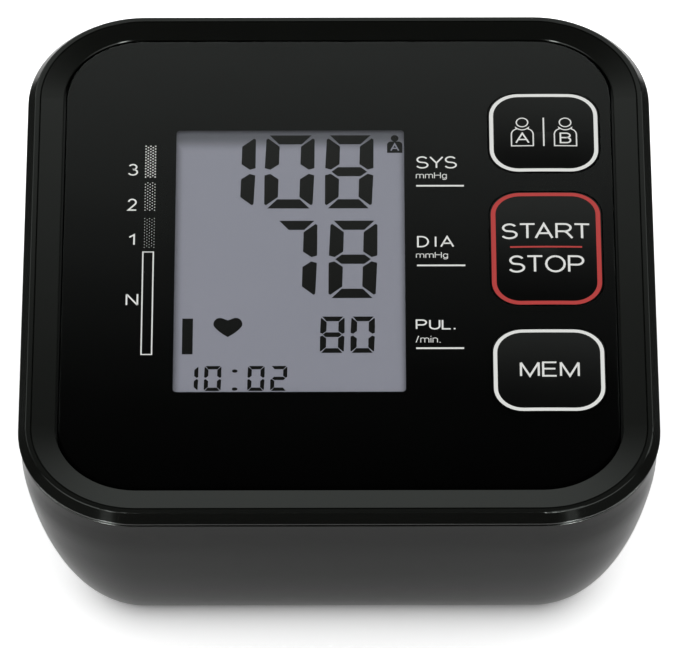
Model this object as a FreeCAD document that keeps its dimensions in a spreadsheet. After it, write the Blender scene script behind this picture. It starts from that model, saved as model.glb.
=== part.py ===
"""Table-top blood pressure monitor: a wedge-shaped console with a display, three keys,
an air pump, a release valve and a bay for four cells.

Two frames are used. The base frame has Z up, the table at Z = 0, the front of the console
towards -Y and X to the right. The panel frame lies in the outer face of the lens, with its
origin at the middle of the lens; it is tipped by panel_tilt about X, so that the front is low.
All sizes are in millimetres and degrees.
"""
import FreeCAD, Part
import Sketcher
import math
import os
import re

Vector = FreeCAD.Vector

# Driving sizes, written once each. The name is the alias of the cell.
SIZES = {
    # lens and rim, from the middle of the panel outwards
    "panel_tilt": 7.0,
    "window_left": 22.5,
    "window_width": 46.0,
    "window_to_keys": 17.0,
    "key_margin": 2.7,
    "window_front": 26.0,
    "window_length": 68.6,
    "window_behind": 22.6,
    "lens_corner": 15.7,
    "lens_thick": 2.0,
    "lens_edge_round": 0.4,
    "lens_gap": 0.35,
    "tape_thick": 0.15,
    "tape_width": 1.6,
    "bezel_width": 4.65,
    "bezel_rise": 0.2,
    "bezel_chamfer": 0.15,
    "groove_width": 0.3,
    "groove_depth": 0.25,
    "bead_width": 0.95,
    "bead_round": 0.35,
    "band_tilt": 40.0,
    "ridge_round": 0.3,
    "ridge_cover": 0.55,
    "seam_reach": 1.5,
    "lip_round": 0.6,
    "seam_gap": 0.25,
    "rim_depth": 2.2,
    "tongue_gap": 0.6,
    "tongue_thick": 1.4,
    "tongue_depth": 2.2,
    "deck_thick": 2.0,
    # hull of the lower case
    "front_height": 35.7,
    "base_inset": 15.95,
    "back_taper": 0.6,
    "hull_power": 1.64,
    "corner_taper": 0.9,
    "case_wall": 2.0,
    "floor_thick": 2.0,
    # feet
    "foot_radius": 5.0,
    "foot_stand": 1.5,
    "foot_sink": 0.8,
    "foot_to_screw": 14.0,
    "foot_round": 0.6,
    # screws that close the case
    "screw_side": 24.8,
    "screw_front": 21.91,
    "screw_back": 16.11,
    "screw_boss": 3.5,
    "screw_boss_top": 16.0,
    "screw_seat": 12.0,
    "screw_head": 2.7,
    "screw_head_thick": 2.0,
    "screw_shank": 1.4,
    "screw_length": 13.0,
    "screw_clear": 0.3,
    "cross_length": 3.0,
    "cross_width": 0.7,
    "cross_depth": 0.9,
    # keys
    "start_stop_key_y": 2.85,
    "key_space_back": 5.15,
    "key_space_front": 6.25,
    "key_width": 22.4,
    "key_length": 21.2,
    "start_stop_key_length": 29.7,
    "key_corner": 5.85,
    "key_gap": 0.2,
    "key_flange": 1.0,
    "key_flange_thick": 1.0,
    "key_wall": 1.5,
    "key_crown": 0.3,
    "key_crown_radius": 280.0,
    "key_stem": 2.2,
    "key_stem_drop": 0.15,
    "key_travel": 0.6,
    # switches under the keys
    "switch_size": 6.0,
    "switch_height": 3.4,
    "plunger_radius": 1.75,
    "plunger_show": 0.9,
    "plunger_seat": 0.8,
    "running_gap": 0.05,
    # display
    "display_side": 3.05,
    "display_end": 3.7,
    "display_thick": 2.8,
    "display_ledge": 3.0,
    "display_gap": 0.45,
    "display_clear": 0.5,
    "gasket_edge": 0.5,
    "gasket_clear": 1.0,
    "holder_wall": 1.2,
    "holder_ledge": 4.0,
    "holder_end_ledge": 8.0,
    "strip_width": 2.4,
    "strip_end": 2.5,
    # main board, from the edges of the lens
    "board_left_gap": 9.3,
    "board_right_gap": 2.3,
    "board_front_gap": 18.1,
    "board_back_gap": 13.8,
    "board_corner": 3.0,
    "board_thick": 1.6,
    "post_edge": 4.0,
    "post_radius": 2.6,
    "board_screw_shank": 1.1,
    "board_screw_head": 2.3,
    "board_screw_head_thick": 1.4,
    "board_screw_length": 6.0,
    # parts soldered under the board
    "chip_size": 12.0,
    "chip_height": 1.5,
    "chip_stand": 0.1,
    "chip_leg": 1.2,
    "chip_leg_height": 0.5,
    "crystal_width": 3.6,
    "crystal_length": 9.4,
    "crystal_height": 3.4,
    "crystal_x": 12.0,
    "capacitor_radius": 3.15,
    "capacitor_height": 7.5,
    "capacitor_pitch": 9.0,
    "capacitor_y": 22.0,
    "buzzer_radius": 6.0,
    "buzzer_height": 4.6,
    "buzzer_port": 1.0,
    "buzzer_inset": 13.0,
    # battery bay, door and cells
    "bay_side": 48.3,
    "bay_wall": 1.5,
    "bay_ceiling": 19.2,
    "cell_radius": 7.1,
    "cell_length": 50.5,
    "cell_pitch": 15.0,
    "cell_gap": 0.4,
    "cell_nub_radius": 2.7,
    "cell_nub_length": 1.3,
    "contact_thick": 0.4,
    "contact_size": 9.0,
    "spring_reach": 6.1,
    "spring_crest": 2.0,
    "door_rebate": 1.5,
    "door_plate": 1.0,
    "door_clear": 0.25,
    "door_rib": 2.0,
    "door_rib_thick": 1.2,
    "door_rib_end": 8.0,
    "tab_width": 5.0,
    "tab_thick": 1.2,
    "tab_lift": 0.6,
    "tab_root": 4.0,
    "tab_reach": 1.75,
    "tab_play": 1.0,
    "latch_width": 12.0,
    "latch_length": 9.0,
    "latch_slit": 1.0,
    "grip_width": 0.8,
    "grip_depth": 0.4,
    "grip_pitch": 1.8,
    "grip_start": 3.0,
    "finger_depth": 1.2,
    "finger_length": 6.0,
    "finger_side": 2.0,
    # pump
    "pump_gap": 3.5,
    "pump_z": 18.5,
    "motor_radius": 12.0,
    "motor_length": 32.0,
    "motor_boss": 3.0,
    "motor_boss_length": 1.5,
    "shaft_radius": 1.0,
    "head_size": 26.0,
    "head_corner": 5.0,
    "crank_case_length": 10.0,
    "crank_case_wall": 2.0,
    "crank_chamber": 10.0,
    "crank_radius": 6.0,
    "crank_offset": 1.5,
    "crank_disc": 3.0,
    "crank_pin": 1.0,
    "crank_pin_length": 2.0,
    "diaphragm_thick": 2.5,
    "cup_radius": 3.4,
    "cup_height": 2.0,
    "cup_clear": 0.4,
    "cap_length": 8.5,
    "pump_screw_edge": 3.0,
    "pump_screw_shank": 1.0,
    "pump_screw_head": 1.9,
    "pump_screw_head_thick": 1.3,
    "sleeve_thick": 1.5,
    "sleeve_length": 22.0,
    "saddle_thick": 2.0,
    "saddle_top": 14.0,
    "saddle_pitch": 15.0,
    "saddle_side": 1.0,
    # air line
    "line_gap": 2.0,
    "pump_tube_gap": 10.0,
    "line_z": 24.0,
    "block_size": 8.0,
    "nipple_radius": 1.75,
    "nipple_length": 5.0,
    "short_nipple": 2.6,
    "air_way": 0.8,
    "tube_radius": 2.9,
    "socket_inset": 5.8,
    "socket_flange": 7.0,
    "socket_flange_thick": 1.2,
    "socket_barrel": 4.5,
    "socket_bore": 2.5,
    "socket_bore_depth": 6.0,
    "socket_boss": 9.0,
    "socket_boss_length": 4.5,
    "socket_length": 12.0,
    "valve_tube_length": 15.5,
    "valve_length": 20.0,
    "valve_size": 12.0,
    "stand_thick": 2.0,
    "stand_end": 2.0,
    "plunger_bore": 3.0,
    "plunger_depth": 14.0,
    "valve_stroke": 0.8,
    "sensor_size": 9.0,
    "sensor_height": 4.0,
    "bend_height": 8.0,
    "bend_take": 1.0,
    # power inlet
    "inlet_x": 25.0,
    "inlet_z": 18.0,
    "inlet_inset": 6.31,
    "inlet_boss_length": 5.3,
    "inlet_recess": 1.0,
    "inlet_pin_inset": 1.0,
    "inlet_boss": 6.5,
    "inlet_collar": 4.0,
    "inlet_bore": 2.75,
    "inlet_bore_depth": 9.5,
    "inlet_pin": 1.0,
    "inlet_width": 9.0,
    "inlet_height": 11.0,
    "inlet_length": 14.0,
    # leads
    "lead_radius": 0.7,
    "lead_bend": 5.0,
    "lead_start": 0.5,
    "lead_pitch": 4.0,
    "plug_height": 4.0,
    "plug_width": 8.0,
    "plug_length": 5.0,
}

# Measures that follow from the driving sizes.
DERIVED = {
    # rim: distances outwards from the edge of the lens
    "rim_inner": "lens_gap",
    "rim_crest": "lens_gap + bezel_width",
    "rim_bead": "rim_crest + groove_width",
    "rim_top": "rim_bead + bead_width",
    "band_foot": "seam_gap - rim_depth",
    "rim_ridge": "rim_top + (bezel_rise - band_foot) * tan(band_tilt)",
    "rim_lower": "rim_ridge - ridge_cover",
    # how far the band's two rounds reach along the faces that they join
    "bead_take": "bead_round * tan((90 - band_tilt) / 2)",
    "ridge_take": "ridge_round * tan((90 + band_tilt) / 2)",
    "tongue_out": "rim_lower - case_wall - tongue_gap",
    "lens_width": "window_left + window_width + window_to_keys + key_width + key_margin",
    "lens_length": "window_front + window_length + window_behind",
    "case_width": "lens_width + 2 * rim_lower",
    "case_length": "lens_length + 2 * rim_lower",
    "case_corner": "lens_corner + rim_lower",
    # the parting plane crosses Y = 0 at this height
    "part_z": "foot_stand + front_height + case_length / 2 * sin(panel_tilt)",
    "panel_y": "-rim_depth * sin(panel_tilt)",
    "panel_z": "part_z + rim_depth * cos(panel_tilt)",
    "case_side": "case_width / 2",
    "case_back": "case_length / 2 * cos(panel_tilt)",
    # places on the panel, from the middle of the lens
    "window_x": "window_left + window_width / 2 - lens_width / 2",
    "window_y": "window_front + window_length / 2 - lens_length / 2",
    "display_width": "window_width + 2 * display_side",
    "display_length": "window_length + 2 * display_end",
    "key_x": "lens_width / 2 - key_margin - key_width / 2",
    "key_step": "(start_stop_key_length + key_length) / 2",
    "user_key_y": "start_stop_key_y + key_step + key_space_back",
    "memory_key_y": "start_stop_key_y - key_step - key_space_front",
    "board_left": "board_left_gap - lens_width / 2",
    "board_right": "lens_width / 2 - board_right_gap",
    "board_front": "board_front_gap - lens_length / 2",
    "board_back": "lens_length / 2 - board_back_gap",
    "holder_right": "window_x + display_width / 2 + holder_wall",
    "buzzer_x": "board_right - buzzer_inset",
    "post_left_x": "board_left + post_edge",
    "post_right_x": "(holder_right + key_x - key_width / 2 - key_flange) / 2",
    "post_front_y": "board_front + post_edge",
    "post_back_y": "board_back - 2 * post_edge",
    # levels under the lens, in the panel frame
    "deck_top": "-lens_thick - tape_thick",
    "deck_bottom": "deck_top - deck_thick",
    "stem_bottom": "deck_bottom - key_flange_thick - key_stem_drop",
    "switch_top": "stem_bottom - plunger_show",
    "board_top": "switch_top - switch_height",
    "board_bottom": "board_top - board_thick",
    "display_top": "-lens_thick - display_gap",
    "display_bottom": "display_top - display_thick",
    # screws and feet
    "screw_x": "case_side - screw_side",
    "screw_front_y": "screw_front - case_back",
    "screw_back_y": "case_back - screw_back",
    "foot_x": "screw_x - foot_to_screw",
    # floor of the lower case
    "floor_top": "foot_stand + floor_thick",
    # battery bay
    "bay_width": "4 * cell_pitch",
    "bay_length": "contact_thick + cell_length + spring_reach",
    "bay_x": "case_side - bay_side",
    "bay_back": "bay_length / 2",
    "bay_top": "bay_ceiling + bay_wall",
    "door_inside": "foot_stand + 2 * door_plate",
    "cell_z": "door_inside + cell_gap + cell_radius",
    "cell_front": "bay_back - contact_thick - cell_length",
    "tab_low": "door_inside + tab_lift",
    "tab_x": "cell_pitch",
    # pump, from its outlet to its front end
    "pump_x": "bay_x - bay_width / 2 - bay_wall - pump_gap - head_size / 2",
    "cap_back": "block_front - pump_tube_gap",
    "diaphragm_back": "cap_back - cap_length",
    "crank_case_back": "diaphragm_back - diaphragm_thick",
    "motor_back": "crank_case_back - crank_case_length",
    "pump_front": "motor_back - motor_length",
    "outlet_rise": "line_z - pump_z",
    "sleeve_radius": "motor_radius + sleeve_thick",
    "saddle_y": "pump_front + motor_length / 2",
    "pump_screw_x": "head_size / 2 - pump_screw_edge",
    # air line
    "line_y": "bay_back + bay_wall + line_gap + valve_size / 2",
    "socket_face": "socket_inset - case_side",
    "socket_boss_end": "socket_face + socket_boss_length",
    "socket_inner_end": "socket_face + socket_length",
    "valve_left": "block_right + valve_tube_length",
    "block_left": "pump_x - block_size / 2",
    "block_right": "pump_x + block_size / 2",
    "block_front": "line_y - block_size / 2",
    "block_top": "line_z + block_size / 2",
    "bend_z": "line_z + bend_height",
    "sensor_y": "(line_y - panel_y) * cos(panel_tilt) + (bend_z - panel_z) * sin(panel_tilt)",
    "inlet_face": "case_back - inlet_inset",
    "inlet_boss_end": "inlet_face - inlet_boss_length",
    "inlet_depth": "inlet_boss_end - inlet_length",
}

# Share of the hull's depth at which each of its sections lies.
HULL_STEPS = (0, 0.15, 0.3, 0.45, 0.6, 0.72, 0.83, 0.91, 0.96, 1)

KEYS = {
    "user": ("user_key_y", "key_length"),
    "start_stop": ("start_stop_key_y", "start_stop_key_length"),
    "memory": ("memory_key_y", "key_length"),
}
FEET = {
    "front_left_foot": ("-foot_x", "screw_front_y"),
    "front_right_foot": ("foot_x", "screw_front_y"),
    "back_left_foot": ("-foot_x", "screw_back_y"),
    "back_right_foot": ("foot_x", "screw_back_y"),
}
CASE_SCREWS = [(x, y) for x in ("-screw_x", "screw_x") for y in ("screw_front_y", "screw_back_y")]
BOARD_POSTS = [(x, y) for x in ("post_left_x", "post_right_x") for y in ("post_front_y", "post_back_y")]
PUMP_SCREWS = [(x, z) for x in ("-pump_screw_x", "pump_screw_x") for z in ("-pump_screw_x", "pump_screw_x")]

doc = FreeCAD.newDocument("blood_pressure_monitor")
sheet = doc.addObject("Spreadsheet::Sheet", "sizes")
for row, (alias, size) in enumerate(SIZES.items(), start=1):
    sheet.set("A%d" % row, alias)
    sheet.set("B%d" % row, str(size))
    sheet.setAlias("B%d" % row, alias)
doc.recompute()

NODES = []


# ---------------------------------------------------------------- expressions

def expand(formula):
    """The formula in the sheet's own terms: derived names are written out, aliases get 'sizes.'"""
    def word(match):
        name = match.group(0)
        if name in DERIVED:
            return "(" + expand(DERIVED[name]) + ")"
        if name in SIZES:
            return "sizes." + name
        return name
    return re.sub(r"[a-z_][a-z_0-9]*", word, str(formula))


def value(formula):
    """The number that a formula gives with the sizes in the sheet."""
    return float(sheet.evalExpression(expand(formula)))


def bind(item, **formulas):
    """Tie properties of an object to the sheet."""
    for prop, formula in formulas.items():
        item.setExpression(prop.replace("__", "."), expand(formula))


def put(item, prop="Placement", at=("0", "0", "0"), turn="0", about=(1, 0, 0)):
    """Place an object, or the attachment of a sketch, by formulas."""
    corner = Vector(*(value(c) for c in at))
    setattr(item, prop, FreeCAD.Placement(corner, FreeCAD.Rotation(Vector(*about), value(turn))))
    for axis, formula in zip("xyz", at):
        item.setExpression("%s.Base.%s" % (prop, axis), expand(formula))
    if turn != "0":
        item.setExpression(prop + ".Rotation.Angle", expand(turn))
    return item


def in_panel_frame(item):
    """Tip an object that was drawn in the panel frame to its place on the console."""
    return put(item, at=("0", "panel_y", "panel_z"), turn="panel_tilt")


def node(item, label):
    """Name a finished piece and list it for export."""
    item.Label = label
    NODES.append(item)
    return item


# ------------------------------------------------------------------- sketches

def new_body(name):
    return doc.addObject("PartDesign::Body", name)


def new_sketch(body, name, plane="XY", at=("0", "0", "0"), turn="0", about=(1, 0, 0)):
    """An empty sketch on one of the body's own origin planes.

    On XY the sketch looks down at X and Y, and a pad rises. On XZ its own axes are X and Z and a
    pad grows towards -Y. On YZ they are Y and Z and a pad grows towards +X.
    """
    sketch = body.newObject("Sketcher::SketchObject", name)
    support = next(f for f in body.Origin.OriginFeatures if f.Role == plane + "_Plane")
    sketch.AttachmentSupport = [(support, "")]
    sketch.MapMode = "FlatFace"
    return put(sketch, "AttachmentOffset", at, turn, about)


def hold(sketch, point, x, y):
    """Fix a point of a sketch by formulas for its two coordinates."""
    for kind, formula in (("DistanceX", x), ("DistanceY", y)):
        index = sketch.addConstraint(Sketcher.Constraint(kind, -1, 1, point[0], point[1], value(formula)))
        sketch.setExpression("Constraints[%d]" % index, expand(formula))


def limit(sketch, kind, edge, formula):
    index = sketch.addConstraint(Sketcher.Constraint(kind, edge, value(formula)))
    sketch.setExpression("Constraints[%d]" % index, expand(formula))


def circle(sketch, radius, x="0", y="0"):
    edge = sketch.addGeometry(Part.Circle(Vector(value(x), value(y), 0), Vector(0, 0, 1), value(radius)))
    limit(sketch, "Radius", edge, radius)
    hold(sketch, (edge, 3), x, y)


def polygon(sketch, points):
    """Straight edges through the points, each point fixed by its two formulas."""
    spots = [Vector(value(x), value(y), 0) for x, y in points]
    first = sketch.GeometryCount
    for here, there in zip(spots, spots[1:] + spots[:1]):
        sketch.addGeometry(Part.LineSegment(here, there))
    for i, (x, y) in enumerate(points):
        before = first + (i - 1) % len(points)
        sketch.addConstraint(Sketcher.Constraint("Coincident", before, 2, first + i, 1))
        hold(sketch, (first + i, 1), x, y)


def rectangle(sketch, width, length, x="0", y="0"):
    low_x, high_x = ("(%s) - (%s) / 2" % (x, width), "(%s) + (%s) / 2" % (x, width))
    low_y, high_y = ("(%s) - (%s) / 2" % (y, length), "(%s) + (%s) / 2" % (y, length))
    polygon(sketch, [(low_x, low_y), (high_x, low_y), (high_x, high_y), (low_x, high_y)])


def rounded(sketch, width, length, radius, x="0", y="0"):
    """A rectangle with rounded corners, round the point x, y."""
    w, l, r, cx, cy = (value(f) for f in (width, length, radius, x, y))
    px, py = w / 2 - r, l / 2 - r
    ends = [(-px, -l / 2, px, -l / 2), (w / 2, -py, w / 2, py),
            (px, l / 2, -px, l / 2), (-w / 2, py, -w / 2, -py)]
    corners = [(px, -py, -90), (px, py, 0), (-px, py, 90), (-px, -py, 180)]
    first = sketch.GeometryCount
    for (ax, ay, bx, by), (kx, ky, start) in zip(ends, corners):
        sketch.addGeometry(Part.LineSegment(Vector(cx + ax, cy + ay, 0), Vector(cx + bx, cy + by, 0)))
        arc = Part.Circle(Vector(cx + kx, cy + ky, 0), Vector(0, 0, 1), r)
        sketch.addGeometry(Part.ArcOfCircle(arc, math.radians(start), math.radians(start + 90)))
    for i in range(4):
        line, arc, after = first + 2 * i, first + 2 * i + 1, first + (2 * i + 2) % 8
        sketch.addConstraint(Sketcher.Constraint("Tangent", line, 2, arc, 1))
        sketch.addConstraint(Sketcher.Constraint("Tangent", arc, 2, after, 1))
        sketch.addConstraint(Sketcher.Constraint("Horizontal" if i % 2 == 0 else "Vertical", line))
        if i:
            sketch.addConstraint(Sketcher.Constraint("Equal", first + 1, arc))
    limit(sketch, "Radius", first + 1, radius)
    reach = ("(%s) / 2 - (%s)" % (width, radius), "(%s) / 2 - (%s)" % (length, radius))
    hold(sketch, (first + 3, 3), "(%s) + %s" % (x, reach[0]), "(%s) + %s" % (y, reach[1]))
    hold(sketch, (first + 7, 3), "(%s) - (%s)" % (x, reach[0]), "(%s) - (%s)" % (y, reach[1]))


# ------------------------------------------------------------------- features

def pad(body, sketch, length, name, back=False):
    feature = body.newObject("PartDesign::Pad", name)
    feature.Profile = sketch
    feature.Reversed = back
    bind(feature, Length=length)
    sketch.Visibility = False
    return feature


def pocket(body, sketch, length, name, back=False):
    """Cut into the material behind the sketch's face, or in front of it when back is set."""
    feature = body.newObject("PartDesign::Pocket", name)
    feature.Profile = sketch
    feature.Reversed = back
    if length is None:
        feature.Type = "ThroughAll"
    else:
        bind(feature, Length=length)
    return feature


def turned(body, profile, name):
    """A turned piece: the outline's first coordinate is the radius, its second the height."""
    sketch = new_sketch(body, name + "_outline", "XZ")
    polygon(sketch, profile)
    feature = body.newObject("PartDesign::Revolution", name)
    feature.Profile = sketch
    feature.ReferenceAxis = (sketch, ["V_Axis"])
    feature.Angle = 360.0
    return feature


def box(name, size, at):
    """A plain block with its low corner at the given point."""
    item = doc.addObject("Part::Box", name)
    bind(item, Length=size[0], Width=size[1], Height=size[2])
    return put(item, at=at)


def rod(name, radius, length, at, along="Z"):
    """A plain cylinder from the given point along +X, +Y or +Z."""
    item = doc.addObject("Part::Cylinder", name)
    bind(item, Radius=radius, Height=length)
    turns = {"Z": ("0", (1, 0, 0)), "X": ("90", (0, 1, 0)), "Y": ("-90", (1, 0, 0))}
    turn, about = turns[along]
    item.Placement = FreeCAD.Placement(Vector(0, 0, 0), FreeCAD.Rotation(Vector(*about), float(turn)))
    for axis, formula in zip("xyz", at):
        item.setExpression("Placement.Base.%s" % axis, expand(formula))
    return item


def fused(name, items):
    item = doc.addObject("Part::MultiFuse", name)
    item.Shapes = items
    return item


def cut(name, base, tools):
    """Take the tools away from the base."""
    item = doc.addObject("Part::Cut", name)
    item.Base = base
    item.Tool = tools[0] if len(tools) == 1 else fused(name + "_tools", tools)
    return item


def group(name, items):
    """Several separate solids of one kind, kept as one piece."""
    item = doc.addObject("Part::Compound", name)
    item.Links = items
    return item


def edges_where(shape, test):
    """Names of the edges for which test(edge) holds."""
    return ["Edge%d" % i for i, edge in enumerate(shape.Edges, start=1) if test(edge)]


def level(edge, axis, height):
    """Whether an edge lies wholly at one height."""
    low, high = getattr(edge.BoundBox, axis + "Min"), getattr(edge.BoundBox, axis + "Max")
    return abs(low - height) < 1e-4 and abs(high - height) < 1e-4


def rounded_edges(body, feature, test, radius, name, kind="Fillet"):
    """Round, or chamfer, the edges of the last feature that pass the test."""
    doc.recompute()
    dress = body.newObject("PartDesign::" + kind, name)
    dress.Base = (feature, edges_where(feature.Shape, test))
    bind(dress, **{"Radius" if kind == "Fillet" else "Size": radius})
    return dress


# ----------------------------------------------------------------- lower case

def hull_section(body, name, step, wall, bottom):
    """One section of the hull, or of its hollow when wall isn't 0.

    The sections turn from the tipped parting plane to the flat base, and draw in along a
    superellipse: steep under the rim, nearly flat where they meet the base.
    """
    inset = "(base_inset * (1 - (1 - %s ^ hull_power) ^ (1 / hull_power)))" % step
    sketch = new_sketch(
        body, name, "XY",
        at=("0", "%s * (1 - back_taper) / 2" % inset,
            "part_z * (1 - %s) + (%s) * %s" % (step, bottom, step)),
        turn="panel_tilt * (1 - %s)" % step)
    rounded(sketch,
            "case_width - 2 * %s - 2 * %s" % (inset, wall),
            "case_length - (1 + back_taper) * %s - 2 * %s" % (inset, wall),
            "case_corner - corner_taper * %s - %s" % (inset, wall))
    return sketch


def hull(name, wall, bottom):
    """The bowl-shaped body of the lower case, as one smooth loft."""
    body = new_body(name)
    sections = [hull_section(body, "%s_section_%d" % (name, i), step, wall, bottom)
                for i, step in enumerate(HULL_STEPS)]
    loft = body.newObject("PartDesign::AdditiveLoft", name + "_loft")
    loft.Profile = sections[0]
    loft.Sections = sections[1:]
    return body, sections, loft


def make_core():
    """The hollow of the lower case, less everything that stands up inside it."""
    core, sections, loft = hull("case_hollow", "case_wall", "floor_top")
    pad(core, sections[0], "rim_depth", "open_top")
    bosses = new_sketch(core, "screw_bosses", "XY", at=("0", "0", "screw_boss_top"))
    for x, y in CASE_SCREWS:
        circle(bosses, "screw_boss", x, y)
    pocket(core, bosses, None, "screw_boss_cores")
    bay = new_sketch(core, "bay_block", "XY", at=("0", "0", "bay_top"))
    rectangle(bay, "bay_width + 2 * bay_wall", "bay_length + 2 * bay_wall", "bay_x", "0")
    pocket(core, bay, None, "bay_core")
    saddles = new_sketch(core, "saddle_ribs", "XY", at=("0", "0", "saddle_top"))
    for side in (-1, 1):
        rectangle(saddles, "2 * sleeve_radius + 2 * saddle_side", "saddle_thick",
                  "pump_x", "saddle_y + %d * saddle_pitch / 2" % side)
    pocket(core, saddles, None, "saddle_cores")
    stand = new_sketch(core, "valve_stand", "XY", at=("0", "0", "line_z - valve_size / 2"))
    rectangle(stand, "valve_length - 2 * stand_end", "stand_thick",
              "valve_left + valve_length / 2", "line_y")
    pocket(core, stand, None, "valve_stand_core")
    post = new_sketch(core, "inlet_stand", "XY", at=("0", "0", "inlet_z - inlet_height / 2"))
    rectangle(post, "inlet_width", "stand_thick", "inlet_x", "inlet_boss_end - inlet_length / 2")
    pocket(core, post, None, "inlet_stand_core")
    socket = new_sketch(core, "socket_boss_ring", "YZ", at=("line_y", "line_z", "socket_boss_end"))
    circle(socket, "socket_boss")
    pocket(core, socket, None, "socket_boss_core")
    inlet = new_sketch(core, "inlet_boss_ring", "XZ", at=("inlet_x", "inlet_z", "-inlet_boss_end"))
    circle(inlet, "inlet_boss")
    pocket(core, inlet, None, "inlet_boss_core")
    return core


def make_lower_case():
    """The hull with its hollow, the battery bay, the screw holes and the two side openings."""
    core = make_core()
    body, sections, loft = hull("lower_case_hull", "0", "foot_stand")
    doc.recompute()
    lip = edges_where(loft.Shape, on_parting_plane)
    dress = body.newObject("PartDesign::Fillet", "lip")
    dress.Base = (loft, lip)
    bind(dress, Radius="lip_round")
    hollow = body.newObject("PartDesign::Boolean", "hollow")
    hollow.Type = "Cut"
    hollow.setObjects([core])
    under = new_sketch(body, "foot_seats", "XY", at=("0", "0", "foot_stand"))
    for x, y in FEET.values():
        circle(under, "foot_radius + running_gap", x, y)
    pocket(body, under, "foot_sink", "foot_seat_cuts", back=True)
    heads = new_sketch(body, "screw_wells", "XY", at=("0", "0", "foot_stand"))
    shanks = new_sketch(body, "screw_holes", "XY", at=("0", "0", "foot_stand"))
    for x, y in CASE_SCREWS:
        circle(heads, "screw_head + screw_clear", x, y)
        circle(shanks, "screw_shank + screw_clear", x, y)
    pocket(body, heads, "screw_seat - foot_stand", "screw_well_cuts", back=True)
    pocket(body, shanks, "screw_boss_top", "screw_hole_cuts", back=True)
    mouth = new_sketch(body, "bay_mouth", "XY", at=("0", "0", "foot_stand"))
    rectangle(mouth, "bay_width", "bay_length", "bay_x", "0")
    pocket(body, mouth, "bay_ceiling - foot_stand", "bay_mouth_cut", back=True)
    rebate = new_sketch(body, "door_rebate_outline", "XY", at=("0", "0", "foot_stand"))
    rectangle(rebate, "bay_width + 2 * door_rebate", "bay_length + 2 * door_rebate", "bay_x", "0")
    pocket(body, rebate, "door_plate", "door_rebate_cut", back=True)
    finger = new_sketch(body, "finger_scoop", "XY", at=("0", "0", "foot_stand"))
    rounded(finger, "latch_width + 2 * finger_side", "2 * finger_length", "finger_length / 2",
            "bay_x", "-bay_back - door_rebate")
    pocket(body, finger, "finger_depth", "finger_scoop_cut", back=True)
    slots = new_sketch(body, "hook_slots", "XZ", at=("0", "0", "-bay_back + bay_wall"))
    for side in (-1, 1):
        rectangle(slots, "tab_width + tab_play", "2 * tab_thick + tab_play", "bay_x + %d * tab_x" % side,
                  "door_inside + tab_thick + tab_play / 2")
    pocket(body, slots, "3 * bay_wall", "hook_slot_cuts")
    saddle = new_sketch(body, "sleeve_bed", "XZ", at=("pump_x", "pump_z", "-saddle_y + saddle_pitch"))
    circle(saddle, "sleeve_radius + running_gap")
    pocket(body, saddle, "2 * saddle_pitch", "sleeve_bed_cut")
    recess = new_sketch(body, "socket_recess", "YZ",
                        at=("line_y", "line_z", "socket_face + socket_flange_thick"))
    circle(recess, "socket_flange + 2 * running_gap")
    pocket(body, recess, None, "socket_recess_cut")
    hole = new_sketch(body, "socket_hole", "YZ", at=("line_y", "line_z", "socket_boss_end"))
    circle(hole, "socket_barrel + running_gap")
    pocket(body, hole, None, "socket_hole_cut")
    inlet = new_sketch(body, "inlet_recess", "XZ", at=("inlet_x", "inlet_z", "-inlet_face"))
    circle(inlet, "inlet_collar + inlet_recess")
    pocket(body, inlet, None, "inlet_recess_cut")
    collar = new_sketch(body, "inlet_hole", "XZ", at=("inlet_x", "inlet_z", "-inlet_boss_end"))
    circle(collar, "inlet_collar + running_gap")
    pocket(body, collar, None, "inlet_hole_cut")
    return node(body, "lower_case")


def on_parting_plane(edge):
    """Whether both ends and the middle of an edge lie on the parting plane."""
    tilt = math.radians(value("panel_tilt"))
    points = [edge.valueAt(t) for t in (edge.FirstParameter, edge.LastParameter,
                                        (edge.FirstParameter + edge.LastParameter) / 2)]
    return all(abs((p.z - value("part_z")) * math.cos(tilt) - p.y * math.sin(tilt)) < 1e-3 for p in points)


# ----------------------------------------------------------------- upper case

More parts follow.
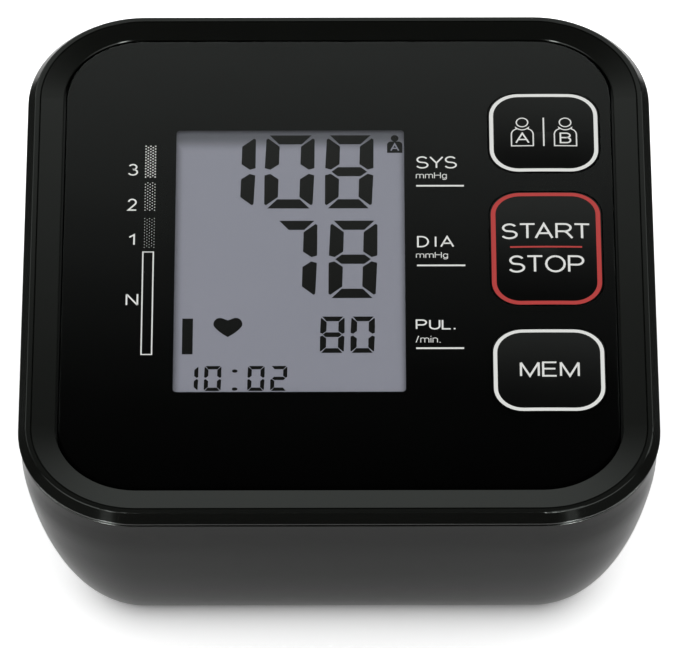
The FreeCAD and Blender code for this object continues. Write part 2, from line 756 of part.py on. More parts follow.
def make_upper_case():
    """The frame round the lens: one profile swept round the panel, with the deck inside it."""
    body = new_body("upper_case_body")
    edge = "lens_width / 2"
    path = new_sketch(body, "rim_path", "XY")
    rounded(path, "lens_width", "lens_length", "lens_corner")
    rim = new_sketch(body, "rim_profile", "XZ")
    outline = [
        ("rim_inner", "deck_bottom"),
        ("tongue_out - tongue_thick", "deck_bottom"),
        ("tongue_out - tongue_thick", "-rim_depth - tongue_depth"),
        ("tongue_out", "-rim_depth - tongue_depth"),
        ("tongue_out", "-rim_depth"),
        ("rim_lower - seam_reach", "-rim_depth"),
        ("rim_lower - seam_reach", "band_foot"),
        ("rim_ridge - ridge_take", "band_foot"),
        ("rim_ridge - ridge_take * sin(band_tilt)", "band_foot + ridge_take * cos(band_tilt)"),
        ("rim_top + bead_take * sin(band_tilt)", "bezel_rise - bead_take * cos(band_tilt)"),
        ("rim_top - bead_take", "bezel_rise"),
        ("rim_bead", "bezel_rise"),
        ("rim_bead - groove_width / 2", "bezel_rise - groove_depth"),
        ("rim_crest", "bezel_rise"),
        ("rim_inner + bezel_chamfer", "0"),
        ("rim_inner", "-bezel_chamfer"),
    ]
    spots = [("%s + %s" % (edge, x), y) for x, y in outline]
    ridge = outline.index(("rim_ridge - ridge_take", "band_foot"))
    rim_outline(rim, spots, {ridge: "ridge_round", ridge + 2: "bead_round"})
    sweep = body.newObject("PartDesign::AdditivePipe", "rim")
    sweep.Profile = rim
    sweep.Spine = (path, [])
    deck = new_sketch(body, "deck_outline", "XY", at=("0", "0", "deck_bottom"))
    rounded(deck, "lens_width + 2 * rim_crest", "lens_length + 2 * rim_crest", "lens_corner + rim_crest")
    pad(body, deck, "deck_thick", "deck")
    openings = new_sketch(body, "deck_openings", "XY", at=("0", "0", "deck_top"))
    rectangle(openings, "display_width + 2 * display_clear", "display_length + 2 * display_clear",
              "window_x", "window_y")
    for y, length in KEYS.values():
        rounded(openings, "key_width + 4 * key_gap", length + " + 4 * key_gap",
                "key_corner + 2 * key_gap", "key_x", y)
    pocket(body, openings, "deck_thick", "deck_opening_cuts")
    posts = new_sketch(body, "board_posts", "XY", at=("0", "0", "board_top"))
    pilots = new_sketch(body, "board_post_pilots", "XY", at=("0", "0", "board_top"))
    for x, y in BOARD_POSTS:
        circle(posts, "post_radius", x, y)
        circle(pilots, "board_screw_shank + running_gap", x, y)
    pad(body, posts, "deck_bottom - board_top + deck_thick / 2", "board_post_pads")
    pocket(body, pilots, "board_screw_length", "board_post_holes", back=True)
    for i, (x, y) in enumerate(CASE_SCREWS):
        upright_boss(body, "boss_%d" % (i + 1), x, y)
    return node(in_panel_frame(body), "upper_case")


def rim_outline(sketch, spots, rounds):
    """The swept profile: straight edges, and an outward round of a named radius after some of the spots."""
    points = [Vector(value(x), value(y), 0) for x, y in spots]
    count = len(points)
    for i, here in enumerate(points):
        there = points[(i + 1) % count]
        if i not in rounds:
            sketch.addGeometry(Part.LineSegment(here, there))
            continue
        radius, chord = value(rounds[i]), there - here
        rise = math.sqrt(radius ** 2 - (chord.Length / 2) ** 2)
        centre = (here + there) * 0.5 + Vector(-chord.y, chord.x, 0).normalize() * rise
        start, stop = [math.atan2(p.y - centre.y, p.x - centre.x) for p in (here, there)]
        ring = Part.Circle(centre, Vector(0, 0, 1), radius)
        sketch.addGeometry(Part.ArcOfCircle(ring, start, stop if stop > start else stop + 2 * math.pi))
    for i, (x, y) in enumerate(spots):
        sketch.addConstraint(Sketcher.Constraint("Coincident", (i - 1) % count, 2, i, 1))
        hold(sketch, (i, 1), x, y)
    for i, radius in rounds.items():
        limit(sketch, "Radius", i, radius)


def upright_boss(body, name, x, y):
    """A screw boss that hangs from the deck, upright in the base frame."""
    rise = ("screw_boss_top - panel_z", "(%s) - panel_y" % y)
    along = "(%s) * cos(panel_tilt) + (%s) * sin(panel_tilt)" % (rise[1], rise[0])
    base = "(%s) * cos(panel_tilt) - (%s) * sin(panel_tilt)" % (rise[0], rise[1])
    length = "(deck_bottom + deck_thick / 2 - (%s)) / cos(panel_tilt)" % base
    for part, radius, make, reach in (
            ("_post", "screw_boss", pad, length),
            ("_pilot", "screw_shank + running_gap", pocket, "screw_length")):
        sketch = new_sketch(body, name + part, "XY", at=(x, along, base), turn="-panel_tilt")
        circle(sketch, radius)
        if make is pad:
            pad(body, sketch, reach, name + "_pad")
        else:
            pocket(body, sketch, reach, name + "_hole", back=True)


# ---------------------------------------------------------------- lens and keys

def key_openings(sketch, grow):
    """The outlines of the three keys, grown on every side."""
    for y, length in KEYS.values():
        rounded(sketch, "key_width + 2 * (%s)" % grow, "%s + 2 * (%s)" % (length, grow),
                "key_corner + (%s)" % grow, "key_x", y)


def make_front_lens():
    """The gloss panel: one clear moulding, rounded along its outer edge, open at the keys."""
    body = new_body("front_lens_body")
    outline = new_sketch(body, "lens_outline", "XY")
    rounded(outline, "lens_width", "lens_length", "lens_corner")
    plate = pad(body, outline, "lens_thick", "lens_plate", back=True)
    rounded_edges(body, plate, lambda edge: level(edge, "Z", 0), "lens_edge_round", "lens_edge")
    openings = new_sketch(body, "lens_openings", "XY")
    key_openings(openings, "key_gap")
    pocket(body, openings, "lens_thick", "lens_opening_cuts")
    return node(in_panel_frame(body), "front_lens")


def frame_ring(name, outer, inner, bottom, thick, x="0", y="0", corner=("0", "0")):
    """A flat ring in the panel frame between two rectangles."""
    body = new_body(name + "_body")
    sketch = new_sketch(body, name + "_outline", "XY", at=("0", "0", bottom))
    for (width, length), radius in zip((outer, inner), corner):
        if radius == "0":
            rectangle(sketch, width, length, x, y)
        else:
            rounded(sketch, width, length, radius, x, y)
    pad(body, sketch, thick, name + "_ring")
    return node(in_panel_frame(body), name)


def make_key(name, y, length):
    """A hollow key cap with a crowned top, a flange that holds it in and a stem on its switch."""
    body = new_body(name + "_block")
    outline = new_sketch(body, name + "_outline", "XY", at=("0", "0", "deck_bottom"))
    rounded(outline, "key_width", length, "key_corner", "key_x", y)
    pad(body, outline, "key_crown - deck_bottom", name + "_wall")
    flange = new_sketch(body, name + "_flange_outline", "XY", at=("0", "0", "deck_bottom"))
    rounded(flange, "key_width + 2 * key_flange", length + " + 2 * key_flange",
            "key_corner + key_flange", "key_x", y)
    pad(body, flange, "key_flange_thick", name + "_flange", back=True)
    hollow = new_sketch(body, name + "_hollow_outline", "XY",
                        at=("0", "0", "deck_bottom - key_flange_thick"))
    rounded(hollow, "key_width - 2 * key_wall", length + " - 2 * key_wall",
            "key_corner - key_wall", "key_x", y)
    pocket(body, hollow, "key_flange_thick - deck_bottom - key_wall", name + "_hollow", back=True)
    stem = new_sketch(body, name + "_stem_outline", "XY", at=("0", "0", "stem_bottom"))
    circle(stem, "key_stem", "key_x", y)
    pad(body, stem, "-stem_bottom - key_wall / 2", name + "_stem")
    crown = doc.addObject("Part::Sphere", name + "_crown")
    bind(crown, Radius="key_crown_radius")
    put(crown, at=("key_x", y, "key_crown - key_crown_radius"))
    cap = doc.addObject("Part::Common", name + "_cap")
    cap.Base, cap.Tool = body, crown
    return node(in_panel_frame(cap), name + "_key")


def make_switch(name, y):
    """A push switch on the board under a key, and the plunger that the key pushes."""
    case = box(name + "_switch_case", ("switch_size", "switch_size", "switch_height"),
               ("key_x - switch_size / 2", "%s - switch_size / 2" % y, "board_top"))
    deep = "(plunger_seat + key_travel + 2 * running_gap)"
    well = rod(name + "_switch_well", "plunger_radius + running_gap", deep,
               ("key_x", y, "switch_top - " + deep))
    node(in_panel_frame(cut(name + "_switch_body", case, [well])), name + "_switch")
    plunger = rod(name + "_plunger_rod", "plunger_radius", "plunger_seat + plunger_show",
                  ("key_x", y, "switch_top - plunger_seat"))
    node(in_panel_frame(group(name + "_plunger_part", [plunger])), name + "_plunger")


# --------------------------------------------------------------------- display

def make_display():
    """The display glass, the foam round it, its holder and the two rubber contact strips."""
    half = "display_thick / 2"
    short = "display_length - 2 * display_ledge"
    left = "window_x - display_width / 2"
    back_glass = box("back_glass", ("display_width", short, half),
                     (left, "window_y - (%s) / 2" % short, "display_bottom"))
    front_glass = box("front_glass", ("display_width", "display_length", half),
                      (left, "window_y - display_length / 2", "display_bottom + " + half))
    node(in_panel_frame(fused("display_plates", [back_glass, front_glass])), "display_glass")
    frame_ring("display_gasket", ("display_width - 2 * gasket_edge", "display_length - 2 * gasket_edge"),
               ("window_width + 2 * gasket_clear", "window_length + 2 * gasket_clear"),
               "display_top", "display_gap", "window_x", "window_y")
    seat = ("display_width + 2 * running_gap", "display_length + 2 * running_gap")
    body = new_body("display_holder_body")
    outer = new_sketch(body, "holder_outline", "XY", at=("0", "0", "board_top"))
    rectangle(outer, "display_width + 2 * holder_wall", "display_length + 2 * holder_wall",
              "window_x", "window_y")
    pad(body, outer, "deck_bottom - running_gap - board_top", "holder_block")
    well = new_sketch(body, "holder_seat", "XY", at=("0", "0", "display_bottom"))
    rectangle(well, seat[0], seat[1], "window_x", "window_y")
    pocket(body, well, "display_thick", "holder_seat_cut", back=True)
    hollow = new_sketch(body, "holder_hollow", "XY", at=("0", "0", "display_bottom"))
    rectangle(hollow, "display_width - 2 * holder_ledge", "display_length - 2 * holder_end_ledge",
              "window_x", "window_y")
    strip_length = "(display_width - 2 * strip_end)"
    for side in (-1, 1):
        rectangle(hollow, strip_length + " + 2 * running_gap", "strip_width + 2 * running_gap", "window_x",
                  "window_y + %d * (display_length - display_ledge) / 2" % side)
    pocket(body, hollow, None, "holder_hollow_cuts")
    node(in_panel_frame(body), "display_holder")
    for label, side in (("display_strip_front", -1), ("display_strip_back", 1)):
        middle = "window_y + %d * (display_length - display_ledge) / 2" % side
        size = (strip_length, "strip_width", "display_bottom + %s - board_top" % half)
        corner = ("window_x - %s / 2" % strip_length, middle + " - strip_width / 2", "board_top")
        strip = box(label + "_rubber", size, corner)
        node(in_panel_frame(group(label + "_part", [strip])), label)


# ------------------------------------------------------------------ main board

def make_main_board():
    """The board, held on four posts of the upper case, and what is soldered to its underside."""
    body = new_body("main_board_body")
    outline = new_sketch(body, "board_outline", "XY", at=("0", "0", "board_bottom"))
    rounded(outline, "board_right - board_left", "board_back - board_front", "board_corner",
            "(board_left + board_right) / 2", "(board_front + board_back) / 2")
    for x, y in BOARD_POSTS:
        circle(outline, "board_screw_shank + screw_clear", x, y)
    pad(body, outline, "board_thick", "board_plate")
    node(in_panel_frame(body), "main_board")
    screws = []
    for i, (x, y) in enumerate(BOARD_POSTS, start=1):
        head = rod("board_screw_head_%d" % i, "board_screw_head", "board_screw_head_thick",
                   (x, y, "board_bottom - board_screw_head_thick"))
        shank = rod("board_screw_shank_%d" % i, "board_screw_shank", "board_screw_length",
                    (x, y, "board_bottom"))
        screws.append(fused("board_screw_%d" % i, [head, shank]))
    node(in_panel_frame(group("board_screw_set", screws)), "board_screws")


def make_board_parts():
    """The controller, crystal, capacitors, buzzer and pressure sensor, all soldered under the board."""
    half = "chip_size / 2"
    chip = [box("chip_case", ("chip_size", "chip_size", "chip_height"),
                ("-" + half, "-" + half, "board_bottom - chip_stand - chip_height"))]
    for i, (w, l) in enumerate((("chip_leg", "0"), ("0", "chip_leg"))):
        size = ["chip_size - 2 * chip_leg + 4 * " + reach for reach in (w, l)]
        corner = ["-%s + chip_leg - 2 * %s" % (half, reach) for reach in (w, l)]
        chip.append(box("chip_legs_%d" % i, (*size, "chip_leg_height"),
                        (*corner, "board_bottom - chip_leg_height")))
    node(in_panel_frame(fused("chip", chip)), "controller_chip")
    crystal = box("crystal_box", ("crystal_width", "crystal_length", "crystal_height"),
                  ("crystal_x", "-crystal_length / 2", "board_bottom - crystal_height"))
    node(in_panel_frame(group("crystal", [crystal])), "crystal_can")
    cans = [rod("capacitor_%d" % i, "capacitor_radius", "capacitor_height",
                ("%d * capacitor_pitch" % i, "capacitor_y", "board_bottom - capacitor_height"))
            for i in (0, 1)]
    node(in_panel_frame(group("capacitors", cans)), "board_capacitors")
    spot = ("buzzer_x", "capacitor_y", "board_bottom - buzzer_height")
    shell = rod("buzzer_shell", "buzzer_radius", "buzzer_height", spot)
    port = rod("buzzer_hole", "buzzer_port", "buzzer_height / 3", spot)
    node(in_panel_frame(cut("buzzer_case", shell, [port])), "buzzer")
    case = box("sensor_case", ("sensor_size", "sensor_size", "sensor_height"),
               ("pump_x - sensor_size / 2", "sensor_y - sensor_size / 2", "board_bottom - sensor_height"))
    foot = ("pump_x", "sensor_y", "board_bottom - sensor_height - short_nipple")
    nipple = rod("sensor_nipple", "nipple_radius", "short_nipple", foot)
    way = rod("sensor_way", "air_way", "short_nipple + 1", foot)
    node(in_panel_frame(cut("sensor", fused("sensor_solid", [case, nipple]), [way])), "pressure_sensor")


# --------------------------------------------------------- battery bay and door

def make_battery_door():
    """The door: a plate in the rebate, a plateau in the mouth, ribs, two hooks and a spring tongue."""
    body = new_body("battery_door_body")
    plate = new_sketch(body, "door_plate_outline", "XY", at=("0", "0", "foot_stand"))
    lap = " + 2 * (door_rebate - door_clear)"
    rectangle(plate, "bay_width" + lap, "bay_length" + lap, "bay_x", "0")
    pad(body, plate, "door_plate", "door_plate_pad")
    step = new_sketch(body, "door_step_outline", "XY", at=("0", "0", "foot_stand + door_plate"))
    rectangle(step, "bay_width - 2 * door_clear", "bay_length - 2 * door_clear", "bay_x", "0")
    pad(body, step, "door_plate", "door_step")
    ribs = new_sketch(body, "door_ribs_outline", "XY", at=("0", "0", "door_inside"))
    for i in (-1, 0, 1):
        rectangle(ribs, "door_rib_thick", "bay_length - 2 * door_rib_end",
                  "bay_x + %d * cell_pitch" % i, "0")
    pad(body, ribs, "door_rib", "door_ribs")
    roots = new_sketch(body, "hook_roots", "XY", at=("0", "0", "door_inside"))
    hooks = new_sketch(body, "hooks", "XY", at=("0", "0", "tab_low"))
    root_back = "(bay_back - 2 * door_clear)"
    hook = "(tab_root + bay_wall + tab_reach)"
    for side in (-1, 1):
        x = "bay_x + %d * tab_x" % side
        rectangle(roots, "tab_width", "tab_root", x, root_back + " - tab_root / 2")
        rectangle(hooks, "tab_width", hook, x, "%s - tab_root + %s / 2" % (root_back, hook))
    pad(body, roots, "tab_lift + tab_thick", "hook_root_pads")
    pad(body, hooks, "tab_thick", "hook_pads")
    slits = new_sketch(body, "latch_slits", "XY", at=("0", "0", "foot_stand"))
    front = "-bay_back - door_rebate"
    for side in (-1, 1):
        rectangle(slits, "latch_slit", "2 * latch_length",
                  "bay_x + %d * (latch_width + latch_slit) / 2" % side, front)
    pocket(body, slits, "2 * door_plate", "latch_slit_cuts", back=True)
    grips = new_sketch(body, "grip_grooves", "XY", at=("0", "0", "foot_stand"))
    for i in range(3):
        rectangle(grips, "latch_width - 2 * latch_slit", "grip_width", "bay_x",
                  "%s + grip_start + %d * grip_pitch" % (front, i))
    pocket(body, grips, "grip_depth", "grip_groove_cuts", back=True)
    return node(body, "battery_door")


def cell_spots():
    """The cells side by side: number, X of the middle, and whether the nub points back."""
    for i in range(4):
        yield i + 1, "bay_x + %s * cell_pitch" % (i - 1.5), i % 2 == 0


def make_cells():
    """Four cells, turned end for end in turn, with the plates and springs that touch them."""
    plates, springs = [], []
    for number, x, nub_back in cell_spots():
        can_length = "cell_length - cell_nub_length"
        low = "cell_front" if nub_back else "-bay_back + contact_thick + cell_nub_length"
        nub_low = "cell_front + " + can_length if nub_back else "-bay_back + contact_thick"
        can = rod("cell_can_%d" % number, "cell_radius", can_length, (x, low, "cell_z"), "Y")
        nub = rod("cell_nub_%d" % number, "cell_nub_radius", "cell_nub_length", (x, nub_low, "cell_z"), "Y")
        node(fused("cell_%d" % number, [can, nub]), "battery_cell_%d" % number)
        plate_y = "bay_back - contact_thick" if nub_back else "-bay_back"
        plates.append(box("plate_%d" % number, ("contact_size", "contact_thick", "contact_size"),
                          ("(%s) - contact_size / 2" % x, plate_y, "cell_z - contact_size / 2")))
        springs.append(make_contact_spring(number, x, nub_back))
    node(group("plate_set", plates), "contact_plates")
    node(group("spring_set", springs), "contact_springs")


def make_contact_spring(number, x, nub_back):
    """A leaf bent from strip: flat on the end wall, bowed out to touch the cell's flat end."""
    side = 1 if nub_back else -1
    wall = "-bay_back" if nub_back else "bay_back"
    half = "contact_size / 2"
    crest = "spring_crest / 2"
    body = new_body("spring_%d_body" % number)
    sketch = new_sketch(body, "spring_%d_outline" % number, "YZ",
                        at=("0", "cell_z", "(%s) - %s" % (x, half)))
    near, far, middle = "contact_thick", "spring_reach", "spring_reach / 2"
    strip = [("0", "-" + half), (near, "-" + half), (near, half + " - " + crest),
             (far + " - " + near, crest), (far + " - " + near, "-" + crest),
             (middle, "-%s + %s" % (half, crest)), (middle + " + " + near, "-%s + %s" % (half, crest)),
             (far, "-" + crest), (far, crest), (near, half), ("0", half)]
    polygon(sketch, [("%s + %d * (%s)" % (wall, side, y), z) for y, z in strip])
    pad(body, sketch, "contact_size", "spring_%d" % number)
    return body


# ------------------------------------------------------------------------ pump

def head_plate(name, low, thick):
    """A square plate of the pump head with its four screw holes, grown towards +Y from low."""
    body = new_body(name + "_body")
    sketch = new_sketch(body, name + "_outline", "XZ", at=("pump_x", "pump_z", "-(%s)" % low))
    rounded(sketch, "head_size", "head_size", "head_corner")
    for x, z in PUMP_SCREWS:
        circle(sketch, "pump_screw_shank + running_gap", x, z)
    pad(body, sketch, thick, name + "_plate", back=True)
    return body


def on_head(body, name, y, radius, length, add, back, spots=(("0", "0"),)):
    """Add or cut round features on the pump's own axis plane at a given Y."""
    sketch = new_sketch(body, name + "_outline", "XZ", at=("pump_x", "pump_z", "-(%s)" % y))
    for x, z in spots:
        circle(sketch, radius, x, z)
    if add:
        pad(body, sketch, length, name, back=back)
    else:
        pocket(body, sketch, length, name, back=back)


def chamber_spots():
    """The three pumping chambers, evenly round the axis."""
    for i in range(3):
        yield ("crank_radius * sin(%d)" % (120 * i), "-crank_radius * cos(%d)" % (120 * i))


def make_pump():
    """Motor, crank, crank case, diaphragm and cap, one behind the other along Y."""
    can = rod("motor_can", "motor_radius", "motor_length", ("pump_x", "pump_front", "pump_z"), "Y")
    boss = rod("motor_boss_ring", "motor_boss", "motor_boss_length", ("pump_x", "motor_back", "pump_z"), "Y")
    bore = rod("motor_bore", "shaft_radius + running_gap", "motor_boss_length + motor_length / 2",
               ("pump_x", "motor_back - motor_length / 2", "pump_z"), "Y")
    node(cut("motor", fused("motor_solid", [can, boss]), [bore]), "pump_motor")

    spot = ("pump_x", "saddle_y - sleeve_length / 2", "pump_z")
    skin = rod("sleeve_skin", "sleeve_radius", "sleeve_length", spot, "Y")
    inside = rod("sleeve_inside", "motor_radius", "sleeve_length", spot, "Y")
    node(cut("sleeve", skin, [inside]), "pump_sleeve")

    shaft = rod("crank_shaft", "shaft_radius",
                "motor_length / 2 + crank_case_length - running_gap - crank_pin_length - crank_disc / 2",
                ("pump_x", "motor_back - motor_length / 2 + running_gap", "pump_z"), "Y")
    disc_y = "crank_case_back - running_gap - crank_pin_length - crank_disc"
    disc = rod("crank_disc_rod", "crank_radius", "crank_disc",
               ("pump_x + crank_offset", disc_y, "pump_z"), "Y")
    pin = rod("crank_pin_rod", "crank_pin", "crank_disc + crank_pin_length - cup_clear",
              ("pump_x + 2 * crank_offset", disc_y, "pump_z"), "Y")
    node(fused("crank", [shaft, disc, pin]), "pump_crank")

    case = head_plate("crank_case", "motor_back", "crank_case_length")
    on_head(case, "crank_room", "motor_back + crank_case_wall", "crank_chamber",
            "crank_case_length - crank_case_wall", False, False)
    on_head(case, "boss_hole", "motor_back", "motor_boss + running_gap", "crank_case_wall", False, False)
    node(case, "crank_case")

    rubber = head_plate("pump_diaphragm", "crank_case_back", "diaphragm_thick")
    on_head(rubber, "cups", "diaphragm_back", "cup_radius", "cup_height", True, True, list(chamber_spots()))
    node(rubber, "pump_diaphragm")

    cap = head_plate("pump_cap", "diaphragm_back", "cap_length")
    on_head(cap, "chambers", "diaphragm_back", "cup_radius + cup_clear", "cup_height + cup_clear",
            False, False, list(chamber_spots()))
    rise = [("0", "outlet_rise")]
    on_head(cap, "outlet", "cap_back", "nipple_radius", "nipple_length", True, True, rise)
    on_head(cap, "outlet_way", "cap_back + nipple_length", "air_way", "nipple_length + cap_length / 2",
            False, True, rise)
    node(cap, "pump_cap")

    screws = []
    for i, (x, z) in enumerate(PUMP_SCREWS, start=1):
        spot = ("pump_x + (%s)" % x, "pump_z + (%s)" % z)
        shank = rod("pump_screw_shank_%d" % i, "pump_screw_shank", "cap_back - motor_back - 1",
                    (spot[0], "motor_back + 1", spot[1]), "Y")
        head = rod("pump_screw_head_%d" % i, "pump_screw_head", "pump_screw_head_thick",
                   (spot[0], "cap_back", spot[1]), "Y")
        screws.append(fused("pump_screw_%d" % i, [shank, head]))
    node(group("pump_screw_set", screws), "pump_screws")


# -------------------------------------------------------------------- air line

def make_air_block():
    """A cube with a nipple towards the socket, the pump, the valve and the sensor."""
    half = "block_size / 2"
    solids = [box("block_cube", ("block_size", "block_size", "block_size"),
                  ("block_left", "block_front", "line_z - " + half))]
    solids.append(rod("block_nipples", "nipple_radius", "block_size + 2 * nipple_length",
                      ("block_left - nipple_length", "line_y", "line_z"), "X"))
    solids.append(rod("block_front_nipple", "nipple_radius", "nipple_length + 1",
                      ("pump_x", "block_front - nipple_length", "line_z"), "Y"))
    solids.append(rod("block_top_nipple", "nipple_radius", "short_nipple + 1",
                      ("pump_x", "line_y", "block_top - 1"), "Z"))
    ways = [
        rod("block_way", "air_way", "block_size + 2 * nipple_length",
            ("block_left - nipple_length", "line_y", "line_z"), "X"),
        rod("block_front_way", "air_way * 0.9", "nipple_length + " + half,
            ("pump_x", "block_front - nipple_length", "line_z"), "Y"),
        rod("block_top_way", "air_way * 0.9", "short_nipple + " + half, ("pump_x", "line_y", "line_z"), "Z"),
    ]
    node(cut("block", fused("block_solid", solids), ways), "air_block")


def straight_tube(label, length, at, along):
    """A rubber tube between two faces, pushed over the nipples at both ends."""
    outside = rod(label + "_outside", "tube_radius", length, at, along)
    inside = rod(label + "_inside", "nipple_radius + running_gap", length, at, along)
    node(cut(label + "_wall", outside, [inside]), label)


def make_tubes():
    straight_tube("pump_tube", "block_front - cap_back", ("pump_x", "cap_back", "line_z"), "Y")
    straight_tube("socket_tube", "block_left - socket_inner_end + nipple_length",
                  ("socket_inner_end - nipple_length", "line_y", "line_z"), "X")
    straight_tube("valve_tube", "valve_left - block_right", ("block_right", "line_y", "line_z"), "X")
    make_sensor_tube()


def make_sensor_tube():
    """The tube that leans over from upright to square with the board, on one gentle bend."""
    low = Vector(value("pump_x"), value("line_y"), value("block_top"))
    corner = Vector(low.x, low.y, value("bend_z"))
    high = corner + panel_up() * (value("board_bottom - sensor_height") - level_of(corner))
    path = bent_path(low, corner, high, value("bend_take"))
    hose = swept(path, "sensor_tube", value("tube_radius"), value("nipple_radius + running_gap"))
    node(hose, "sensor_tube")


def panel_up():
    """The direction square to the panel, in the base frame."""
    tilt = math.radians(value("panel_tilt"))
    return Vector(0, -math.sin(tilt), math.cos(tilt))


def level_of(point):
    """The level of a point of the base frame above the panel plane."""
    return (point - Vector(0, value("panel_y"), value("panel_z"))).dot(panel_up())


def bent_path(start, corner, end, take):
    """Two straight legs joined by one round bend that begins at the distance 'take' from the corner."""
    out, on = (corner - start).normalize(), (end - corner).normalize()
    turn = out.getAngle(on)
    radius = take / math.tan(turn / 2)
    middle = corner + (on - out).normalize() * (radius / math.cos(turn / 2) - radius)
    here, there = corner - out * take, corner + on * take
    legs = [Part.LineSegment(start, here), Part.Arc(here, middle, there), Part.LineSegment(there, end)]
    return Part.Wire([leg.toShape() for leg in legs])


def swept(path, name, radius, bore=0.0):
    """A round tube, or a solid cord when bore is 0, along a path."""
    def sweep(r):
        edge = path.Edges[0]
        start = edge.valueAt(edge.FirstParameter)
        ring = Part.Wire(Part.Circle(start, edge.tangentAt(edge.FirstParameter), r).toShape())
        return path.makePipeShell([ring], True, False)
    solid = sweep(radius)
    item = doc.addObject("Part::Feature", name)
    item.Shape = solid.cut(sweep(bore)) if bore else solid
    return item


def make_air_socket():
    """The socket in the left wall: flange, barrel with the hose's bore, and an inner nipple."""
    def along(name, radius, start, end):
        return rod(name, radius, "(%s) - (%s)" % (end, start), (start, "line_y", "line_z"), "X")
    solids = [
        along("socket_flange_ring", "socket_flange", "socket_face", "socket_face + socket_flange_thick"),
        along("socket_barrel_rod", "socket_barrel", "socket_face", "socket_inner_end - nipple_length"),
        along("socket_nipple", "nipple_radius", "socket_face", "socket_inner_end"),
    ]
    ways = [
        along("socket_bore_rod", "socket_bore", "socket_face", "socket_face + socket_bore_depth"),
        along("socket_way", "air_way", "socket_face", "socket_inner_end"),
    ]
    node(cut("socket", fused("socket_solid", solids), ways), "air_socket")


def make_release_valve():
    """The solenoid that lets the air out, and its sprung plunger in an open bore."""
    case = box("valve_case", ("valve_length", "valve_size", "valve_size"),
               ("valve_left", "line_y - valve_size / 2", "line_z - valve_size / 2"))
    nipple = rod("valve_nipple", "nipple_radius", "nipple_length",
                 ("valve_left - nipple_length", "line_y", "line_z"), "X")
    way = rod("valve_way", "air_way", "nipple_length + valve_length / 2",
              ("valve_left - nipple_length", "line_y", "line_z"), "X")
    end = "valve_left + valve_length - plunger_depth"
    bore = rod("valve_bore", "plunger_bore", "plunger_depth", (end, "line_y", "line_z"), "X")
    node(cut("valve", fused("valve_solid", [case, nipple]), [way, bore]), "release_valve")
    core = rod("valve_core", "plunger_bore - running_gap", "plunger_depth - 2 * valve_stroke",
               (end + " + running_gap", "line_y", "line_z"), "X")
    node(group("valve_core_part", [core]), "valve_plunger")


# --------------------------------------------------------- inlet, leads, fixings

def make_power_inlet():
    """The inlet in the back wall: a block behind the wall, a collar through it and a centre pin."""
    block = box("inlet_block", ("inlet_width", "inlet_length", "inlet_height"),
                ("inlet_x - inlet_width / 2", "inlet_depth", "inlet_z - inlet_height / 2"))
    collar = rod("inlet_collar_rod", "inlet_collar", "inlet_face - inlet_boss_end",
                 ("inlet_x", "inlet_boss_end", "inlet_z"), "Y")
    bore = rod("inlet_bore_rod", "inlet_bore", "inlet_bore_depth",
               ("inlet_x", "inlet_face - inlet_bore_depth", "inlet_z"), "Y")
    pin = rod("inlet_pin_rod", "inlet_pin", "inlet_bore_depth",
              ("inlet_x", "inlet_face - inlet_bore_depth - inlet_pin_inset", "inlet_z"), "Y")
    shell = cut("inlet_shell", fused("inlet_solid", [block, collar]), [bore])
    node(fused("inlet", [shell, pin]), "power_inlet")


LEADS = {
    # leads: X, Y and Z of the point midway between the two at their start
    "motor": ("pump_x", "pump_front", "pump_z"),
    "battery": ("bay_x", "-bay_back - bay_wall", "cell_z"),
}


def lead_path(x, y, z):
    """Out towards -Y, round one bend, then square to the board, up to the plug under it."""
    out, up = Vector(0, -1, 0), panel_up()
    take = value("lead_bend") * math.tan(out.getAngle(up) / 2)
    start = Vector(x, y, z)
    corner = start + out * (take + value("lead_start"))
    end = corner + up * (value("board_bottom - plug_height") - level_of(corner))
    return bent_path(start, corner, end, take), end


def make_leads():
    """Two pairs of leads and the plugs that take them to the board."""
    plugs = []
    for name, (x, y, z) in LEADS.items():
        pair = []
        for i, side in enumerate((-1, 1), start=1):
            path, end = lead_path(value("%s + %d * lead_pitch / 2" % (x, side)), value(y), value(z))
            pair.append(swept(path, "%s_lead_%d" % (name, i), value("lead_radius")))
        node(group(name + "_lead_pair", pair), name + "_leads")
        tilt = math.radians(value("panel_tilt"))
        along = (end.y - value("panel_y")) * math.cos(tilt) + (end.z - value("panel_z")) * math.sin(tilt)
        plugs.append(box(name + "_plug", ("plug_width", "plug_length", "plug_height"),
                         (x + " - plug_width / 2", "%.6f - plug_length / 2" % along,
                          "board_bottom - plug_height")))
    node(in_panel_frame(group("plug_set", plugs)), "lead_plugs")


def make_feet():
    """Four rubber feet in their seats under the base."""
    for label, (x, y) in FEET.items():
        body = new_body(label + "_body")
        high, low = "foot_stand + foot_sink", "0"
        turned(body, [("0", low), ("foot_radius - foot_round", low), ("foot_radius", "foot_round"),
                      ("foot_radius", high), ("0", high)], label + "_turned")
        node(put(body, at=(x, y, "0")), label)


def make_case_screws():
    """The screws that close the case, from below into the bosses of the upper case."""
    screws = []
    for i, (x, y) in enumerate(CASE_SCREWS, start=1):
        head = rod("case_screw_head_%d" % i, "screw_head", "screw_head_thick",
                   (x, y, "screw_seat - screw_head_thick"))
        cross = [box("case_screw_slot_%d_%d" % (i, k), (a, b, "cross_depth"),
                     ("%s - %s / 2" % (x, a), "%s - %s / 2" % (y, b), "screw_seat - screw_head_thick"))
                 for k, (a, b) in enumerate(
                     (("cross_length", "cross_width"), ("cross_width", "cross_length")))]
        shank = rod("case_screw_shank_%d" % i, "screw_shank", "screw_length", (x, y, "screw_seat"))
        screws.append(cut("case_screw_%d" % i, fused("case_screw_solid_%d" % i, [head, shank]), cross))
    node(group("case_screw_set", screws), "case_screws")


# -------------------------------------------------------------- check and write

